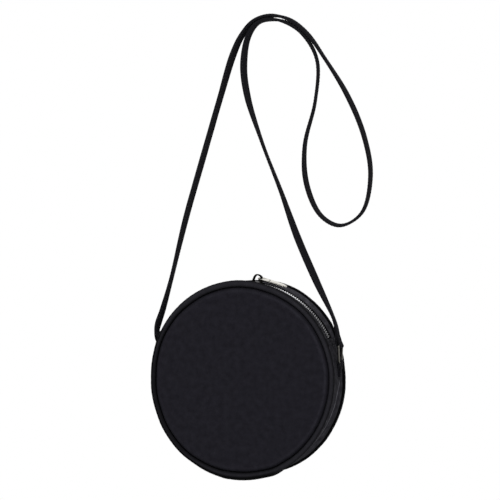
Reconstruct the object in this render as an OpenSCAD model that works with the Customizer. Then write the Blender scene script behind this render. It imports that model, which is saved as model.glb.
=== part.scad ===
// Round drum-shaped shoulder bag, hanging from its own long strap.
// The origin is where the strap's loop rests on whatever holds it: X to the bag's right as seen
// from the front, Y to the back, Z up.

/* [Bag] */
// Outside diameter of the bag over its piping
bag_d = 195; // [170:1:230]
// Depth of the bag from front to back over its piping
bag_depth = 46; // [42:1:70]
// Thickness of the outer fabric
fabric_t = 1.2; // [0.8:0.1:1.5]
// Thickness of the foam behind each face
foam_t = 2.4; // [1.5:0.1:3.5]
// Thickness of the lining cloth
lining_t = 0.6; // [0.4:0.1:1]
// Depth of a face below the crest of its piping
face_inset = 1; // [0.6:0.1:1.6]
// Drop of the gusset below the crest of the piping
gusset_drop = 2.3; // [1.8:0.1:2.8]
// Rounding of a face where it turns in to its seam
edge_round = 2; // [1.8:0.1:3]
// Width of the seam allowance inside the bag
seam_w = 5; // [4:0.5:6]
// Length of the gusset's doubled end beside the zip
hem_l = 7; // [5:0.5:10]
// Extra thickness of the gusset's doubled end
hem_t = 1; // [0.6:0.1:1.2]

/* [Piping] */
// Diameter of the piping round each face
piping_d = 5.2; // [4.8:0.1:6]
// Diameter of the cord inside the piping
piping_cord_d = 3; // [2:0.1:3.6]

/* [Zip] */
// Angle above the horizontal at which the zip ends on each side
zip_end_a = 25.5; // [24:0.5:34]
// Angle of the slider on the zip, from the bag's right side
slider_a = 84; // [70:1:100]
// Distance from tooth to tooth on one tape
tooth_pitch = 2.4; // [2.4:0.1:3]
// Thickness of a tooth along the zip
tooth_t = 1.1; // [0.8:0.05:1.1]
// Height of a tooth through the tape
tooth_h = 2.8; // [2:0.1:2.8]
// Width of a tooth from root to tip
tooth_w = 3.4; // [2.6:0.1:3.4]
// Reach of each tooth past the middle of the closed zip
tooth_mesh = 0.5; // [0.3:0.1:0.6]
// Narrowing of a tooth at its tip
tooth_nose = 0.3; // [0.2:0.05:0.4]
// Distance that each row stands aside where the zip is undone
row_spread = 1.5; // [1.4:0.1:1.7]
// Thickness of the tapes
tape_t = 0.7; // [0.5:0.1:0.8]
// Outer edge of the tapes, from the middle of the zip
tape_edge = 12.4; // [10:0.1:12.6]
// Length of tape held under the gusset's end
tape_tuck = 6; // [3:0.5:10]
// Inner edge of the fabric bands beside the zip, from its middle
band_edge = 6; // [6:0.1:7]
// Inner edge of the lining beside the zip, from its middle
lining_edge = 6.6; // [6.2:0.1:8]

/* [Slider] */
// Length of the slider
slider_l = 12; // [11:0.5:13]
// Width of the slider at its wide end
slider_w = 11.4; // [11.4:0.1:11.6]
// Width of the slider at its narrow end
slider_nose_w = 9.4; // [9.2:0.1:10]
// Thickness of the slider's two plates
plate_t = 1; // [0.8:0.1:1.2]
// Thickness of the slider's side walls
wall_t = 1; // [0.6:0.1:1]
// Width of the wedge between the two rows
wedge_w = 1.4; // [1:0.1:1.6]
// Length of the wedge between the two rows
wedge_l = 2.2; // [1.5:0.1:2.4]
// Length of the crown over the slider
crown_l = 10.8; // [10:0.1:11]
// Height of the crown above the slider
crown_h = 7.8; // [7:0.1:9]
// Width of the crown
crown_w = 2.4; // [1.6:0.1:2.6]
// Thickness of the crown's arch
crown_t = 1.4; // [1:0.1:1.6]
// Length of the pull from its cross bar to its tip
pull_l = 30; // [24:0.5:36]
// Width of the pull
pull_w = 6; // [5.6:0.1:7]
// Thickness of the pull and of its cross bar
pull_t = 1.6; // [1.2:0.1:1.8]
// Length of the pull's eye
eye_l = 9.6; // [9.6:0.1:12]
// Width of the pull's eye
eye_w = 3.8; // [3.6:0.1:4]
// Slope of the resting pull below the slider's own line
pull_a = 10; // [8:0.5:13]
// Lean of the resting pull's broad face to the front
pull_lean = 20; // [0:1:20]

/* [Rings] */
// Wire diameter of the side rings
wire_d = 2.2; // [1.8:0.1:2.6]
// Outside width of a ring at its straight top bar
ring_w = 14.2; // [14:0.1:18]
// Height between the middles of a ring's top and bottom bars
ring_h = 15.4; // [14:0.1:20]
// Straight length of a ring's bottom bar
ring_foot = 5.4; // [5.4:0.1:6.4]
// Bend radius at the ends of the bottom bar
ring_bend = 1.5; // [1.4:0.1:2]
// Height of a ring's top bar above the middle of the bag
ring_z = 34; // [30:0.5:38]
// Distance of the rings' wire from the gusset at the bag's widest place
ring_gap = 0.3; // [0.3:0.1:3]
// Width of the fabric tab that holds a ring
tab_w = 5; // [4:0.1:5]
// Height of the tab's sewn foot above the middle of the bag
tab_foot = 4; // [0:0.5:8]

/* [Strap] */
// Width of the strap
strap_w = 8.8; // [5:0.1:9]
// Thickness of the strap
strap_t = 2.8; // [1.6:0.1:3]
// Thickness of the strap where it is folded round a ring
fold_t = 1.7; // [1:0.1:2]
// Length of the strap's sewn end above a ring
strap_end_l = 10; // [8:0.5:24]
// Lean of the strap's left and right ends towards the bag
lean_left = -2; // [-3:0.5:0]
lean_right = 2; // [0:0.5:3]
// Worn-off corner of the strap's section
strap_corner = 0.4; // [0.3:0.1:0.8]

/* [Hidden] */
$fn = 120;
small_fn = 32;

// Place of the bag's middle below and beside the place that the strap hangs from
bag_x = -25;
bag_z = -355;

// Clearance between layers that are sewn together
layer_gap = 0.1;
// Clearance between the two sides of the mouth's fold
fold_gap = 0.1;
// Clearance of a ring in its tab and in the strap
pin_gap = 0.1;
// Running clearance of the slider
run_gap = 0.3;
// Overrun of every cut
over = 1;

// Radii, from the outside in
rim_r = bag_d / 2;
piping_r = piping_d / 2;
piping_at_r = rim_r - piping_r;
gusset_r = rim_r - gusset_drop;
gusset_in_r = gusset_r - fabric_t;
flange_r = gusset_in_r - layer_gap;
flange_in_r = rim_r - piping_d;
panel_r = flange_in_r - layer_gap;
panel_in_r = panel_r - fabric_t;
lining_r = panel_in_r - layer_gap;
lining_in_r = lining_r - lining_t;
foam_r = panel_in_r - (edge_round - fabric_t);
zip_r = gusset_in_r - layer_gap - tape_t / 2;

// Places along the depth, measured from the middle
half = bag_depth / 2;
piping_y = half - piping_r;
piping_back = half - piping_d;
gusset_y = piping_back - layer_gap;
seam_y = piping_back - seam_w;
panel_y = half - face_inset;
panel_back = panel_y - fabric_t;
foam_y = panel_back - layer_gap;
foam_back = foam_y - foam_t;
lining_y = foam_back - layer_gap;
lining_back = lining_y - lining_t;

// Height of the fold on which the front of the mouth opens
fold_z = gusset_in_r * sin(zip_end_a);

// Places on the zip
band_a = zip_end_a + asin(layer_gap / gusset_in_r);
root_y = tooth_w - tooth_mesh;
pitch_a = 2 * asin(tooth_pitch / 2 / zip_r);
teeth = floor((180 - 2 * band_a) / pitch_a);
teeth_a = (180 - teeth * pitch_a) / 2;
tuck_a = asin(tape_tuck / zip_r);
ramp_l = slider_l / 2;
step_a = slider_a - asin((ramp_l + tooth_t) / 2 / zip_r);
slider_sag = pow(slider_l, 2) / 8 / zip_r;
plate_z = zip_r + tooth_h / 2 + run_gap;
under_z = zip_r - tooth_h / 2 - run_gap - slider_sag;
slot_z = zip_r + tape_t / 2 + run_gap;
slot_under_z = zip_r - tape_t / 2 - run_gap - slider_sag;
crown_z = plate_z + plate_t;
// Outline of the crown, as shares of its length and height
crown_shares = [
    [-0.5, 0], [-0.4, 0.55], [-0.28, 0.84], [-0.14, 0.98], [0.04, 1],
    [0.22, 0.95], [0.42, 0.82], [0.5, 0.66], [0.5, 0]
];
// Place of the pull's cross bar, as shares of the crown's length and height
pull_x_share = 0.2;
pull_z_share = 0.5;
pull_x = crown_l * pull_x_share;
pull_z = crown_z + crown_h * pull_z_share;
// Width of the pull's tip and length of its taper, as shares of its width and length
tip_w_share = 0.62;
taper_share = 0.22;

// Places of the rings
wire_r = wire_d / 2;
ring_x = gusset_r + ring_gap + wire_r;
ring_low_z = ring_z - ring_h;
bend_y = ring_foot / 2;
bend_top_y = ring_w / 2 - wire_r - ring_bend;
ring_a = atan((bend_top_y - bend_y) / (ring_h - 2 * ring_bend));
arm_l = (ring_h - 2 * ring_bend) / cos(ring_a);
// Narrowing of a ring's wire in its bends, and lap of its straights into them
bend_draw = 0.08;
bend_lap = 0.2;
tab_r = wire_r + pin_gap + fabric_t;
end_r = wire_r + pin_gap + fold_t;
end_z = ring_z + strap_end_l;

// Route of the strap's middle line, round numbers from the left ring's end to the right one's:
// across, up, and the turn of its width from the depth of the bag
route = [
    [-122.9, -303, -12], [-118.4, -289, -7], [-108.4, -256, 9], [-92.8, -197, -5], [-73.4, -134, -8],
    [-53.9, -72, -7], [-41.2, -33, -17], [-31.6, -13.5, -8], [-18.2, 1, 3], [0, 5.2, 0],
    [18.5, 0.4, 10], [37, -14, 5], [55.7, -40, -2], [79.7, -79, 9], [96.4, -120, 5],
    [102.1, -157, 0], [93.4, -191.6, -8], [72, -203.8, -9], [52, -194, -4], [37.2, -163, -6],
    [35.3, -125, 5], [46, -82, 13], [48, -42, 8], [33.2, -15, -4], [15.5, -2.4, -10],
    [0, 1.4, 0], [-14, -1.2, -3], [-24.2, -14, 5], [-29.2, -42, 19], [-25.4, -73, 15],
    [-9.4, -121, -10], [10.6, -170, -3], [27.4, -214.5, 21], [47.6, -259, 20], [64, -292, -9],
    [67.5, -301, -6]
];
// Rings of the strap's solid in each stretch of the route
stretch_rings = 2;

module at_bag() {
    translate([bag_x, 0, bag_z]) children();
}

// Turns a profile of radius and depth round the bag's axis, for the front half
module turned() {
    rotate([90, 0, 0]) rotate_extrude() children();
}

// The same, but only from one angle to another
module turned_part(a_from, a_to) {
    rotate([90, 0, 0]) rotate([0, 0, a_from]) rotate_extrude(angle = a_to - a_from) children();
}

module to_rear() {
    mirror([0, 1, 0]) children();
}

module above_fold() {
    intersection() {
        children();
        translate([-bag_d, -bag_depth, fold_z + fold_gap / 2]) cube([2 * bag_d, 2 * bag_depth, bag_d]);
    }
}

module below_fold() {
    intersection() {
        children();
        translate([-bag_d, -bag_depth, fold_z - fold_gap / 2 - 2 * bag_d]) cube([2 * bag_d, 2 * bag_depth, 2 * bag_d]);
    }
}

// Curved band round the bag's axis between two radii, two depths and two angles
module arc_band(r_in, r_out, y_from, y_to, a_from, a_to) {
    turned_part(a_from, a_to) translate([r_in, -y_to]) square([r_out - r_in, y_to - y_from]);
}

// Rounded outline of a face turned in at its edge, from depth back to depth front
module face_outline(r, round_r, back, front) {
    translate([0, back]) square([r, front - round_r - back]);
    translate([0, back]) square([r - round_r, front - back]);
    translate([r - round_r, front - round_r]) circle(round_r, $fn = small_fn);
}

module face_panel() {
    turned() difference() {
        intersection() {
            face_outline(panel_r, edge_round, seam_y, panel_y);
            square([panel_r + over, panel_y + over]);
        }
        face_outline(panel_in_r, edge_round - fabric_t, seam_y - over, panel_back);
    }
}

module face_foam() {
    turned() translate([0, foam_back]) square([foam_r, foam_t]);
}

module face_lining() {
    turned() translate([0, lining_back]) square([lining_r, lining_t]);
}

module piping_section() {
    difference() {
        union() {
            translate([piping_at_r, piping_y]) circle(piping_r, $fn = small_fn);
            translate([flange_in_r, seam_y]) square([flange_r - flange_in_r, piping_y - seam_y]);
        }
        translate([piping_at_r, piping_y]) circle(piping_cord_d / 2 + layer_gap, $fn = small_fn);
    }
}

module cord_section() {
    translate([piping_at_r, piping_y]) circle(piping_cord_d / 2, $fn = small_fn);
}

// The parts of a turned piece beside the zip and round the rest of the bag
module zip_part() {
    turned_part(band_a, 180 - band_a) children();
}

module base_part() {
    turned_part(180 - zip_end_a, 360 + zip_end_a) children();
}

module front_panel_upper() { color([0.13, 0.13, 0.15]) at_bag() above_fold() face_panel(); }
module front_panel_lower() { color([0.13, 0.13, 0.15]) at_bag() below_fold() face_panel(); }
module rear_panel() { color([0.13, 0.13, 0.15]) at_bag() to_rear() face_panel(); }
module front_foam_upper() { color([0.75, 0.74, 0.7]) at_bag() above_fold() face_foam(); }
module front_foam_lower() { color([0.75, 0.74, 0.7]) at_bag() below_fold() face_foam(); }
module rear_foam() { color([0.75, 0.74, 0.7]) at_bag() to_rear() face_foam(); }
module front_lining_upper() { color([0.2, 0.2, 0.21]) at_bag() above_fold() face_lining(); }
module front_lining_lower() { color([0.2, 0.2, 0.21]) at_bag() below_fold() face_lining(); }
module rear_lining() { color([0.2, 0.2, 0.21]) at_bag() to_rear() face_lining(); }
module front_piping_upper() { color([0.1, 0.1, 0.12]) at_bag() zip_part() piping_section(); }
module front_piping_lower() { color([0.1, 0.1, 0.12]) at_bag() base_part() piping_section(); }
module rear_piping() { color([0.1, 0.1, 0.12]) at_bag() to_rear() turned() piping_section(); }
module front_cord_upper() { color([0.8, 0.8, 0.78]) at_bag() zip_part() cord_section(); }
module front_cord_lower() { color([0.8, 0.8, 0.78]) at_bag() base_part() cord_section(); }
module rear_cord() { color([0.8, 0.8, 0.78]) at_bag() to_rear() turned() cord_section(); }

// Lower gusset, doubled at both ends where it laps the zip
module gusset_base() {
    hem_a = asin(hem_l / gusset_r);
    color([0.12, 0.12, 0.14]) at_bag() {
        arc_band(gusset_in_r, gusset_r, -gusset_y, gusset_y, 180 - zip_end_a, 360 + zip_end_a);
        arc_band(gusset_r - fabric_t / 2, gusset_r + hem_t, -gusset_y, gusset_y, zip_end_a - hem_a, zip_end_a);
        arc_band(gusset_r - fabric_t / 2, gusset_r + hem_t, -gusset_y, gusset_y, 180 - zip_end_a, 180 - zip_end_a + hem_a);
    }
}

module gusset_lining() {
    edge = lining_back - layer_gap;
    color([0.2, 0.2, 0.21]) at_bag()
        arc_band(lining_in_r, lining_r, -edge, edge, 180 - zip_end_a, 360 + zip_end_a);
}

module zip_band() {
    arc_band(gusset_in_r, gusset_r, -gusset_y, -band_edge, band_a, 180 - band_a);
}

module lining_band() {
    arc_band(lining_in_r, lining_r, layer_gap - lining_back, -lining_edge, band_a, 180 - band_a);
}

module zip_band_front() { color([0.12, 0.12, 0.14]) at_bag() above_fold() zip_band(); }
module zip_band_rear() { color([0.12, 0.12, 0.14]) at_bag() to_rear() zip_band(); }
module lining_band_front() { color([0.2, 0.2, 0.21]) at_bag() above_fold() lining_band(); }
module lining_band_rear() { color([0.2, 0.2, 0.21]) at_bag() to_rear() lining_band(); }

// Tape, set aside where the zip is undone
module zip_tape() {
    in_r = zip_r - tape_t / 2;
    out_r = zip_r + tape_t / 2;
    edge = root_y + layer_gap / 2;
    difference() {
        arc_band(in_r, out_r, -tape_edge, -edge, zip_end_a - tuck_a, 180 - zip_end_a + tuck_a);
        arc_band(in_r - over, out_r + over, -edge - row_spread, over, step_a, 180);
    }
}

module zip_tape_front() { color([0.09, 0.09, 0.1]) at_bag() zip_tape(); }
module zip_tape_rear() { color([0.09, 0.09, 0.1]) at_bag() to_rear() zip_tape(); }

// How far the row stands aside at an angle: nothing where the zip is closed
function row_aside(a) =
    let (run = sin(slider_a - a) * zip_r)
    a > slider_a + 90 ? row_spread
        : row_spread * min(1, max(0, (ramp_l / 2 - run) / ramp_l));

module tooth() {
    half_t = tooth_t / 2;
    translate([0, 0, zip_r - tooth_h / 2]) linear_extrude(height = tooth_h) polygon([
        [-half_t, -root_y], [half_t, -root_y], [half_t, tooth_mesh - tooth_nose],
        [half_t - tooth_nose / 2, tooth_mesh], [tooth_nose / 2 - half_t, tooth_mesh], [-half_t, tooth_mesh - tooth_nose]
    ]);
}

module tooth_row(shift) {
    for (i = [0 : teeth - 1])
        let (a = teeth_a + (i + shift) * pitch_a)
            rotate([0, 90 - a, 0]) translate([0, -row_aside(a), 0]) tooth();
}

module zip_teeth_front() { color([0.8, 0.8, 0.82]) at_bag() tooth_row(0.25); }
module zip_teeth_rear() { color([0.8, 0.8, 0.82]) at_bag() to_rear() tooth_row(0.75); }

// Everything on the slider is drawn at the top of the bag and turned to its place
module at_slider() {
    at_bag() rotate([0, 90 - slider_a, 0]) children();
}

module slider_outline(inset) {
    polygon([
        [-slider_l / 2 - over * sign(inset), inset - slider_w / 2],
        [-slider_l / 12, inset - slider_w / 2],
        [slider_l / 2 + over * sign(inset), inset - slider_nose_w / 2],
        [slider_l / 2 + over * sign(inset), slider_nose_w / 2 - inset],
        [-slider_l / 12, slider_w / 2 - inset],
        [-slider_l / 2 - over * sign(inset), slider_w / 2 - inset]
    ]);
}

module zip_slider() {
    low = under_z - plate_t;
    color([0.78, 0.78, 0.8]) at_slider() {
        difference() {
            translate([0, 0, low]) linear_extrude(height = crown_z - low) slider_outline(0);
            translate([0, 0, under_z]) linear_extrude(height = plate_z - under_z) slider_outline(wall_t);
            translate([-slider_l, -slider_w, slot_under_z]) cube([2 * slider_l, 2 * slider_w, slot_z - slot_under_z]);
        }
        translate([wall_t / 2 - slider_l / 2, -wedge_w / 2, under_z - plate_t / 2])
            cube([wedge_l, wedge_w, plate_z - under_z + plate_t]);
        rotate([90, 0, 0]) translate([0, crown_z, -crown_w / 2]) linear_extrude(height = crown_w) difference() {
            polygon([for (p = crown_shares) [p[0] * crown_l, p[1] * crown_h - (p[1] == 0 ? plate_t / 2 : 0)]]);
            polygon([for (p = crown_shares) [
                p[0] * (crown_l - 2 * crown_t),
                p[1] == 0 ? 0 : p[1] * crown_h - crown_t * (p[1] > 0.6 ? 1 : 0.55)
            ]]);
        }
    }
}

module zip_pull() {
    tip_w = pull_w * tip_w_share;
    taper = pull_l * taper_share;
    color([0.82, 0.82, 0.84]) at_slider() translate([pull_x, 0, pull_z]) rotate([0, pull_a, 0]) {
        rotate([pull_lean, 0, 0]) translate([0, 0, -pull_t / 2]) linear_extrude(height = pull_t) difference() {
            union() {
                translate([0, -pull_w / 2]) square([pull_l - taper, pull_w]);
                polygon([
                    [pull_l - taper, -pull_w / 2], [pull_l - tip_w / 2, -tip_w / 2],
                    [pull_l - tip_w / 2, tip_w / 2], [pull_l - taper, pull_w / 2]
                ]);
                translate([pull_l - tip_w / 2, 0]) circle(d = tip_w, $fn = small_fn);
            }
            translate([0, -eye_w / 2]) square([eye_l, eye_w]);
        }
        rotate([90, 0, 0]) translate([0, 0, -pull_w / 2]) cylinder(d = pull_t, h = pull_w, $fn = small_fn);
    }
}

// Bend of a ring's wire, drawn in a little by the bending
module ring_turn(from, turn) {
    rotate([0, 0, from]) rotate_extrude(angle = turn)
        translate([ring_bend, 0]) circle(d = wire_d - bend_draw, $fn = small_fn);
}

// One side of a ring: its two bends and its arm, with the top bar at zero
module ring_side() {
    rotate([90, 0, 90]) {
        translate([bend_top_y, -ring_bend]) ring_turn(-ring_a, 90 + ring_a);
        translate([bend_y, ring_bend - ring_h]) ring_turn(-90, 90 - ring_a);
        translate([bend_y + ring_bend * cos(ring_a), ring_bend * (1 - sin(ring_a)) - ring_h]) rotate([-90, 0, -ring_a])
            translate([0, 0, -bend_lap]) cylinder(d = wire_d, h = arm_l + 2 * bend_lap, $fn = small_fn);
    }
}

module ring_bar(z, l) {
    rotate([90, 0, 0]) translate([0, z, -l / 2]) cylinder(d = wire_d, h = l, $fn = small_fn);
}

module ring() {
    ring_side();
    mirror([0, 1, 0]) ring_side();
    ring_bar(0, 2 * (bend_top_y + bend_lap));
    ring_bar(-ring_h, ring_foot + 2 * bend_lap);
}

module d_ring_right() { color([0.78, 0.78, 0.8]) at_bag() translate([ring_x, 0, ring_z]) ring(); }
module d_ring_left() { color([0.78, 0.78, 0.8]) at_bag() translate([-ring_x, 0, ring_z]) ring(); }

// Tab folded round the ring's bottom bar and sewn flat on the gusset
module ring_tab() {
    rotate([90, 0, 0]) translate([0, 0, -tab_w / 2]) linear_extrude(height = tab_w) difference() {
        union() {
            translate([ring_x, ring_low_z]) circle(tab_r, $fn = small_fn);
            polygon([
                [ring_x + tab_r, ring_low_z], [ring_x - tab_r, ring_low_z],
                [gusset_r - fabric_t, tab_foot], [gusset_r + 2 * fabric_t, tab_foot]
            ]);
        }
        circle(gusset_r + layer_gap);
        translate([ring_x, ring_low_z]) circle(wire_r + pin_gap, $fn = small_fn);
    }
}

module ring_tab_right() { color([0.12, 0.12, 0.14]) at_bag() ring_tab(); }
module ring_tab_left() { color([0.12, 0.12, 0.14]) at_bag() mirror([1, 0, 0]) ring_tab(); }

// End of the strap, folded round the ring's top bar and sewn to itself
module strap_end(lean) {
    rotate([90, 0, 0]) translate([0, 0, -strap_w / 2]) linear_extrude(height = strap_w) difference() {
        union() {
            translate([ring_x, ring_z]) circle(end_r, $fn = small_fn);
            polygon([
                [ring_x - end_r, ring_z], [ring_x + end_r, ring_z],
                [ring_x - lean + fold_t, end_z], [ring_x - lean - fold_t, end_z]
            ]);
        }
        translate([ring_x, ring_z]) circle(wire_r + pin_gap, $fn = small_fn);
    }
}

module strap_end_right() { color([0.14, 0.14, 0.16]) at_bag() strap_end(lean_right); }
module strap_end_left() { color([0.14, 0.14, 0.16]) at_bag() mirror([1, 0, 0]) strap_end(lean_left); }

// The strap's route with its two sewn ends, and a place beyond each that sets its direction
full_route = concat(
    [[bag_x - ring_x, bag_z + ring_z, 0], [bag_x - ring_x + lean_left, bag_z + end_z, 0]],
    route,
    [[bag_x + ring_x - lean_right, bag_z + end_z, 0], [bag_x + ring_x, bag_z + ring_z, 0]]
);

function knot(p, q) = pow(norm([q[0] - p[0], q[1] - p[1]]), 0.5);
function mixed(p, q, from, to, at) = p * (to - at) / (to - from) + q * (at - from) / (to - from);
// Point on a smooth curve through four points, between the second and the third
function on_route(p, q, r, s, share) =
    let (
        k1 = knot(p, q), k2 = k1 + knot(q, r), k3 = k2 + knot(r, s),
        at = k1 + share * (k2 - k1),
        a = mixed(p, q, 0, k1, at), b = mixed(q, r, k1, k2, at), c = mixed(r, s, k2, k3, at),
        d = mixed(a, b, 0, k2, at), e = mixed(b, c, k1, k3, at)
    ) mixed(d, e, k1, k2, at);

stretches = len(full_route) - 3;
strap_line = [
    for (i = [0 : stretches - 1], k = [0 : stretch_rings - 1])
        on_route(full_route[i], full_route[i + 1], full_route[i + 2], full_route[i + 3], k / stretch_rings),
    full_route[stretches + 1]
];
strap_rings = len(strap_line);

function unit(v) = v / norm(v);
function strap_run(i) =
    i == 0 ? [0, 1]
        : i == strap_rings - 1 ? [0, -1]
        : unit([strap_line[i + 1][0] - strap_line[i - 1][0], strap_line[i + 1][1] - strap_line[i - 1][1]]);

// Corners of the strap's section in order round it: width, thickness
strap_section = let (w = strap_w / 2, t = strap_t / 2, c = strap_corner) [
    [w, c - t], [w, t - c], [w - c, t], [c - w, t], [-w, t - c], [-w, c - t], [c - w, -t], [w - c, -t]
];
sides = len(strap_section);

function strap_corners(i) =
    let (
        at = strap_line[i], run = strap_run(i),
        normal = [-run[1], 0, run[0]],
        across = cos(at[2]) * [0, 1, 0] + sin(at[2]) * normal,
        through = cross([run[0], 0, run[1]], across)
    ) [for (c = strap_section) [at[0], 0, at[1]] + c[0] * across + c[1] * through];

module strap() {
    color([0.14, 0.14, 0.16]) polyhedron(
        points = [for (i = [0 : strap_rings - 1]) each strap_corners(i)],
        faces = [
            for (k = [1 : sides - 2]) [0, k, k + 1],
            for (i = [0 : strap_rings - 2], k = [0 : sides - 1])
                let (a = i * sides + k, b = i * sides + (k + 1) % sides)
                each [[a, a + sides, b], [b, a + sides, b + sides]],
            for (k = [1 : sides - 2])
                let (last = (strap_rings - 1) * sides) [last, last + k + 1, last + k]
        ]
    );
}

front_panel_upper();
front_panel_lower();
rear_panel();
front_foam_upper();
front_foam_lower();
rear_foam();
front_lining_upper();
front_lining_lower();
rear_lining();
front_piping_upper();
front_piping_lower();
rear_piping();
front_cord_upper();
front_cord_lower();
rear_cord();
gusset_base();
gusset_lining();
zip_band_front();
zip_band_rear();
lining_band_front();
lining_band_rear();
zip_tape_front();
zip_tape_rear();
zip_teeth_front();
zip_teeth_rear();
zip_slider();
zip_pull();
d_ring_left();
d_ring_right();
ring_tab_left();
ring_tab_right();
strap_end_left();
strap_end_right();
strap();
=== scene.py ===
import math

import bmesh
import bpy
from mathutils import Matrix, Vector, noise
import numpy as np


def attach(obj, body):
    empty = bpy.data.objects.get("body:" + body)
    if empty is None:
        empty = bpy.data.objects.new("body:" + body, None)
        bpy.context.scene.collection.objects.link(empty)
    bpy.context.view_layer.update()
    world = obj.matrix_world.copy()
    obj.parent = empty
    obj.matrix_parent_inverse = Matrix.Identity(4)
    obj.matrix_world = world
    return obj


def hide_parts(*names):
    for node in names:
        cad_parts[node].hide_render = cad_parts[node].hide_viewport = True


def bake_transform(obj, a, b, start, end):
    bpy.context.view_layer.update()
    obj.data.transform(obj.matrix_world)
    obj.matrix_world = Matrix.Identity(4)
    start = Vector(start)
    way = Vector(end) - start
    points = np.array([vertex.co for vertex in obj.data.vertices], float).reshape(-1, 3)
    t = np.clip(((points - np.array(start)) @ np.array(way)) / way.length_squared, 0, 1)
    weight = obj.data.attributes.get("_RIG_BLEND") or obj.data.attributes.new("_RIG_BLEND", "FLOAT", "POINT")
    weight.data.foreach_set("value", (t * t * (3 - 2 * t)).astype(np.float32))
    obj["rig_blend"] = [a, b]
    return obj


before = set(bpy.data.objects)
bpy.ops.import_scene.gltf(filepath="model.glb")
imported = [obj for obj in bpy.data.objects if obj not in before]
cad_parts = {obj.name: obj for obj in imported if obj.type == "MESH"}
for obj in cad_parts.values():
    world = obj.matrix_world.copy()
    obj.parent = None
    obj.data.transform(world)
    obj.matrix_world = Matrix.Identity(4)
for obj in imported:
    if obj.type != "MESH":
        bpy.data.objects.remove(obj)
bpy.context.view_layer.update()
print("packed bag loaded")

# Every length is written in mm and made metres by this
mm = 0.001

# Place of the bag's middle, its sizes and the zip's place on it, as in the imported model.
# Angles are in degrees above the bag's right side.
bag = {
    "x": -25,
    "z": -355,
    "gusset": 95.2,
    "cloth": 1.2,
    "zipEnd": 25.5,
    "zipRadius": 93.55,
    "sliderAngle": 84,
    "sag": 1.5,
    "sagAngle": 252,
    "sagWidth": 42,
    # how far the soft rims stray from round: angle, then mm in front and behind
    "stray": [
        (0, -0.4, -1.5), (7, 0, -1.6), (15, 0, -1.1), (25, 0, -0.2), (37, 0, 0.9), (50, 0, 1.4),
        (62, -0.3, 1.7), (72, -0.4, 1.4), (82, 0, 0.3), (92, 0.2, -0.6), (105, 0, -0.3),
        (140, 0, 0), (158, 0, 0), (167, -0.5, 0), (180, -0.7, 0), (190, -0.1, 0), (200, 0, 0),
        (213, 0.7, 0.3), (230, 0.8, 0.5), (241, 0.2, 0.2), (250, 0.5, 0.5), (262, 0.8, 0.8),
        (284, 0.5, 0.6), (291, 1.1, 0.7), (304, -1.1, 0.6), (318, -1.6, 0.1), (331, -1.5, -0.6),
        (342, -1.2, -0.9), (352, -0.8, -1.1), (360, -0.4, -1.5),
    ],
    # the distances in front of and behind the bag's middle at which the cloth starts to give,
    # and gives fully
    "rims": (6, 17),
    # where the front piping is pressed flat and wide: angle, then by how many mm
    "press": [
        (0, 0), (42, 0), (62, 0.8), (78, 1.3), (96, 1.4), (122, 1.3), (142, 0.4), (160, 0),
        (236, 0), (252, 1.2), (270, 2.3), (290, 1.8), (306, 0.2), (318, 0), (360, 0),
    ],
    # the radii over which that pressing grows and ends
    "pressGrows": (60, 88),
    "pressEnds": (91.5, 97.5),
    # mm round the gusset for one degree
    "pace": 1.66,
}
front, rear = -1, 1
sides = (("front", front), ("rear", rear))
flanks = (("left", -1), ("right", 1))


# A socket's value, so that shader maths can be written as sums
class Reading:
    def __init__(self, finish, socket):
        self.finish = finish
        self.socket = socket

    def output(self, name):
        return Reading(self.finish, self.socket.node.outputs[name])

    def maths(self, operation, *others):
        return self.finish.maths(operation, self, *others)

    def held(self):
        # kept between 0 and 1
        return self.maths("MAXIMUM", 0).maths("MINIMUM", 1)

    def __add__(self, other):
        return self.maths("ADD", other)

    def __sub__(self, other):
        return self.maths("SUBTRACT", other)

    def __mul__(self, other):
        return self.maths("MULTIPLY", other)

    def __truediv__(self, other):
        return self.maths("DIVIDE", other)

    def __rsub__(self, other):
        return self.finish.maths("SUBTRACT", other, self)

    def __rtruediv__(self, other):
        return self.finish.maths("DIVIDE", other, self)

    __radd__ = __add__
    __rmul__ = __mul__


# A node tree being filled: a material's, the world's or a node group's
class Finish:
    def __init__(self, owner):
        self.owner = owner
        if isinstance(owner, bpy.types.NodeTree):
            self.tree = owner
        else:
            owner.use_nodes = True
            self.tree = owner.node_tree
        self.tree.nodes.clear()

    def node(self, kind, settings=None, sockets=None, out=0):
        made = self.tree.nodes.new(kind)
        for name, value in (settings or {}).items():
            setattr(made, name, value)
        for key, value in (sockets or {}).items():
            if isinstance(value, Reading):
                self.tree.links.new(value.socket, made.inputs[key])
            else:
                made.inputs[key].default_value = value
        return Reading(self, made.outputs[out] if len(made.outputs) else None)

    def maths(self, operation, *values):
        return self.node("ShaderNodeMath", {"operation": operation}, dict(enumerate(values)))

    def tinted(self, share, low, high):
        sockets = {"Factor": share, 6: low, 7: high}
        return self.node("ShaderNodeMix", {"data_type": "RGBA"}, sockets, 2)

    def clouds(self, place, size, detail=2.0, rough=0.5):
        # soft noise of blobs about this many mm across
        settings = {"Scale": 1 / (size * mm), "Detail": detail, "Roughness": rough}
        return self.node("ShaderNodeTexNoise", None, {"Vector": place} | settings)

    def here(self):
        # where a point lies on its piece
        return self.node("ShaderNodeTexCoord", None, None, "Object")

    def mark(self, name):
        # what the piece's own attribute says
        return self.node("ShaderNodeAttribute", {"attribute_name": name}, None, "Fac")

    def bump(self, strength, distance, height):
        sockets = {"Strength": strength, "Distance": distance * mm, "Height": height}
        return self.node("ShaderNodeBump", None, sockets)

    def surface(self, shader):
        self.node("ShaderNodeOutputMaterial", None, {"Surface": shader})
        return self.owner

    def solid(self, sockets):
        return self.surface(self.node("ShaderNodeBsdfPrincipled", None, sockets))


def finishNamed(name):
    return Finish(bpy.data.materials.new(name))


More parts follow.
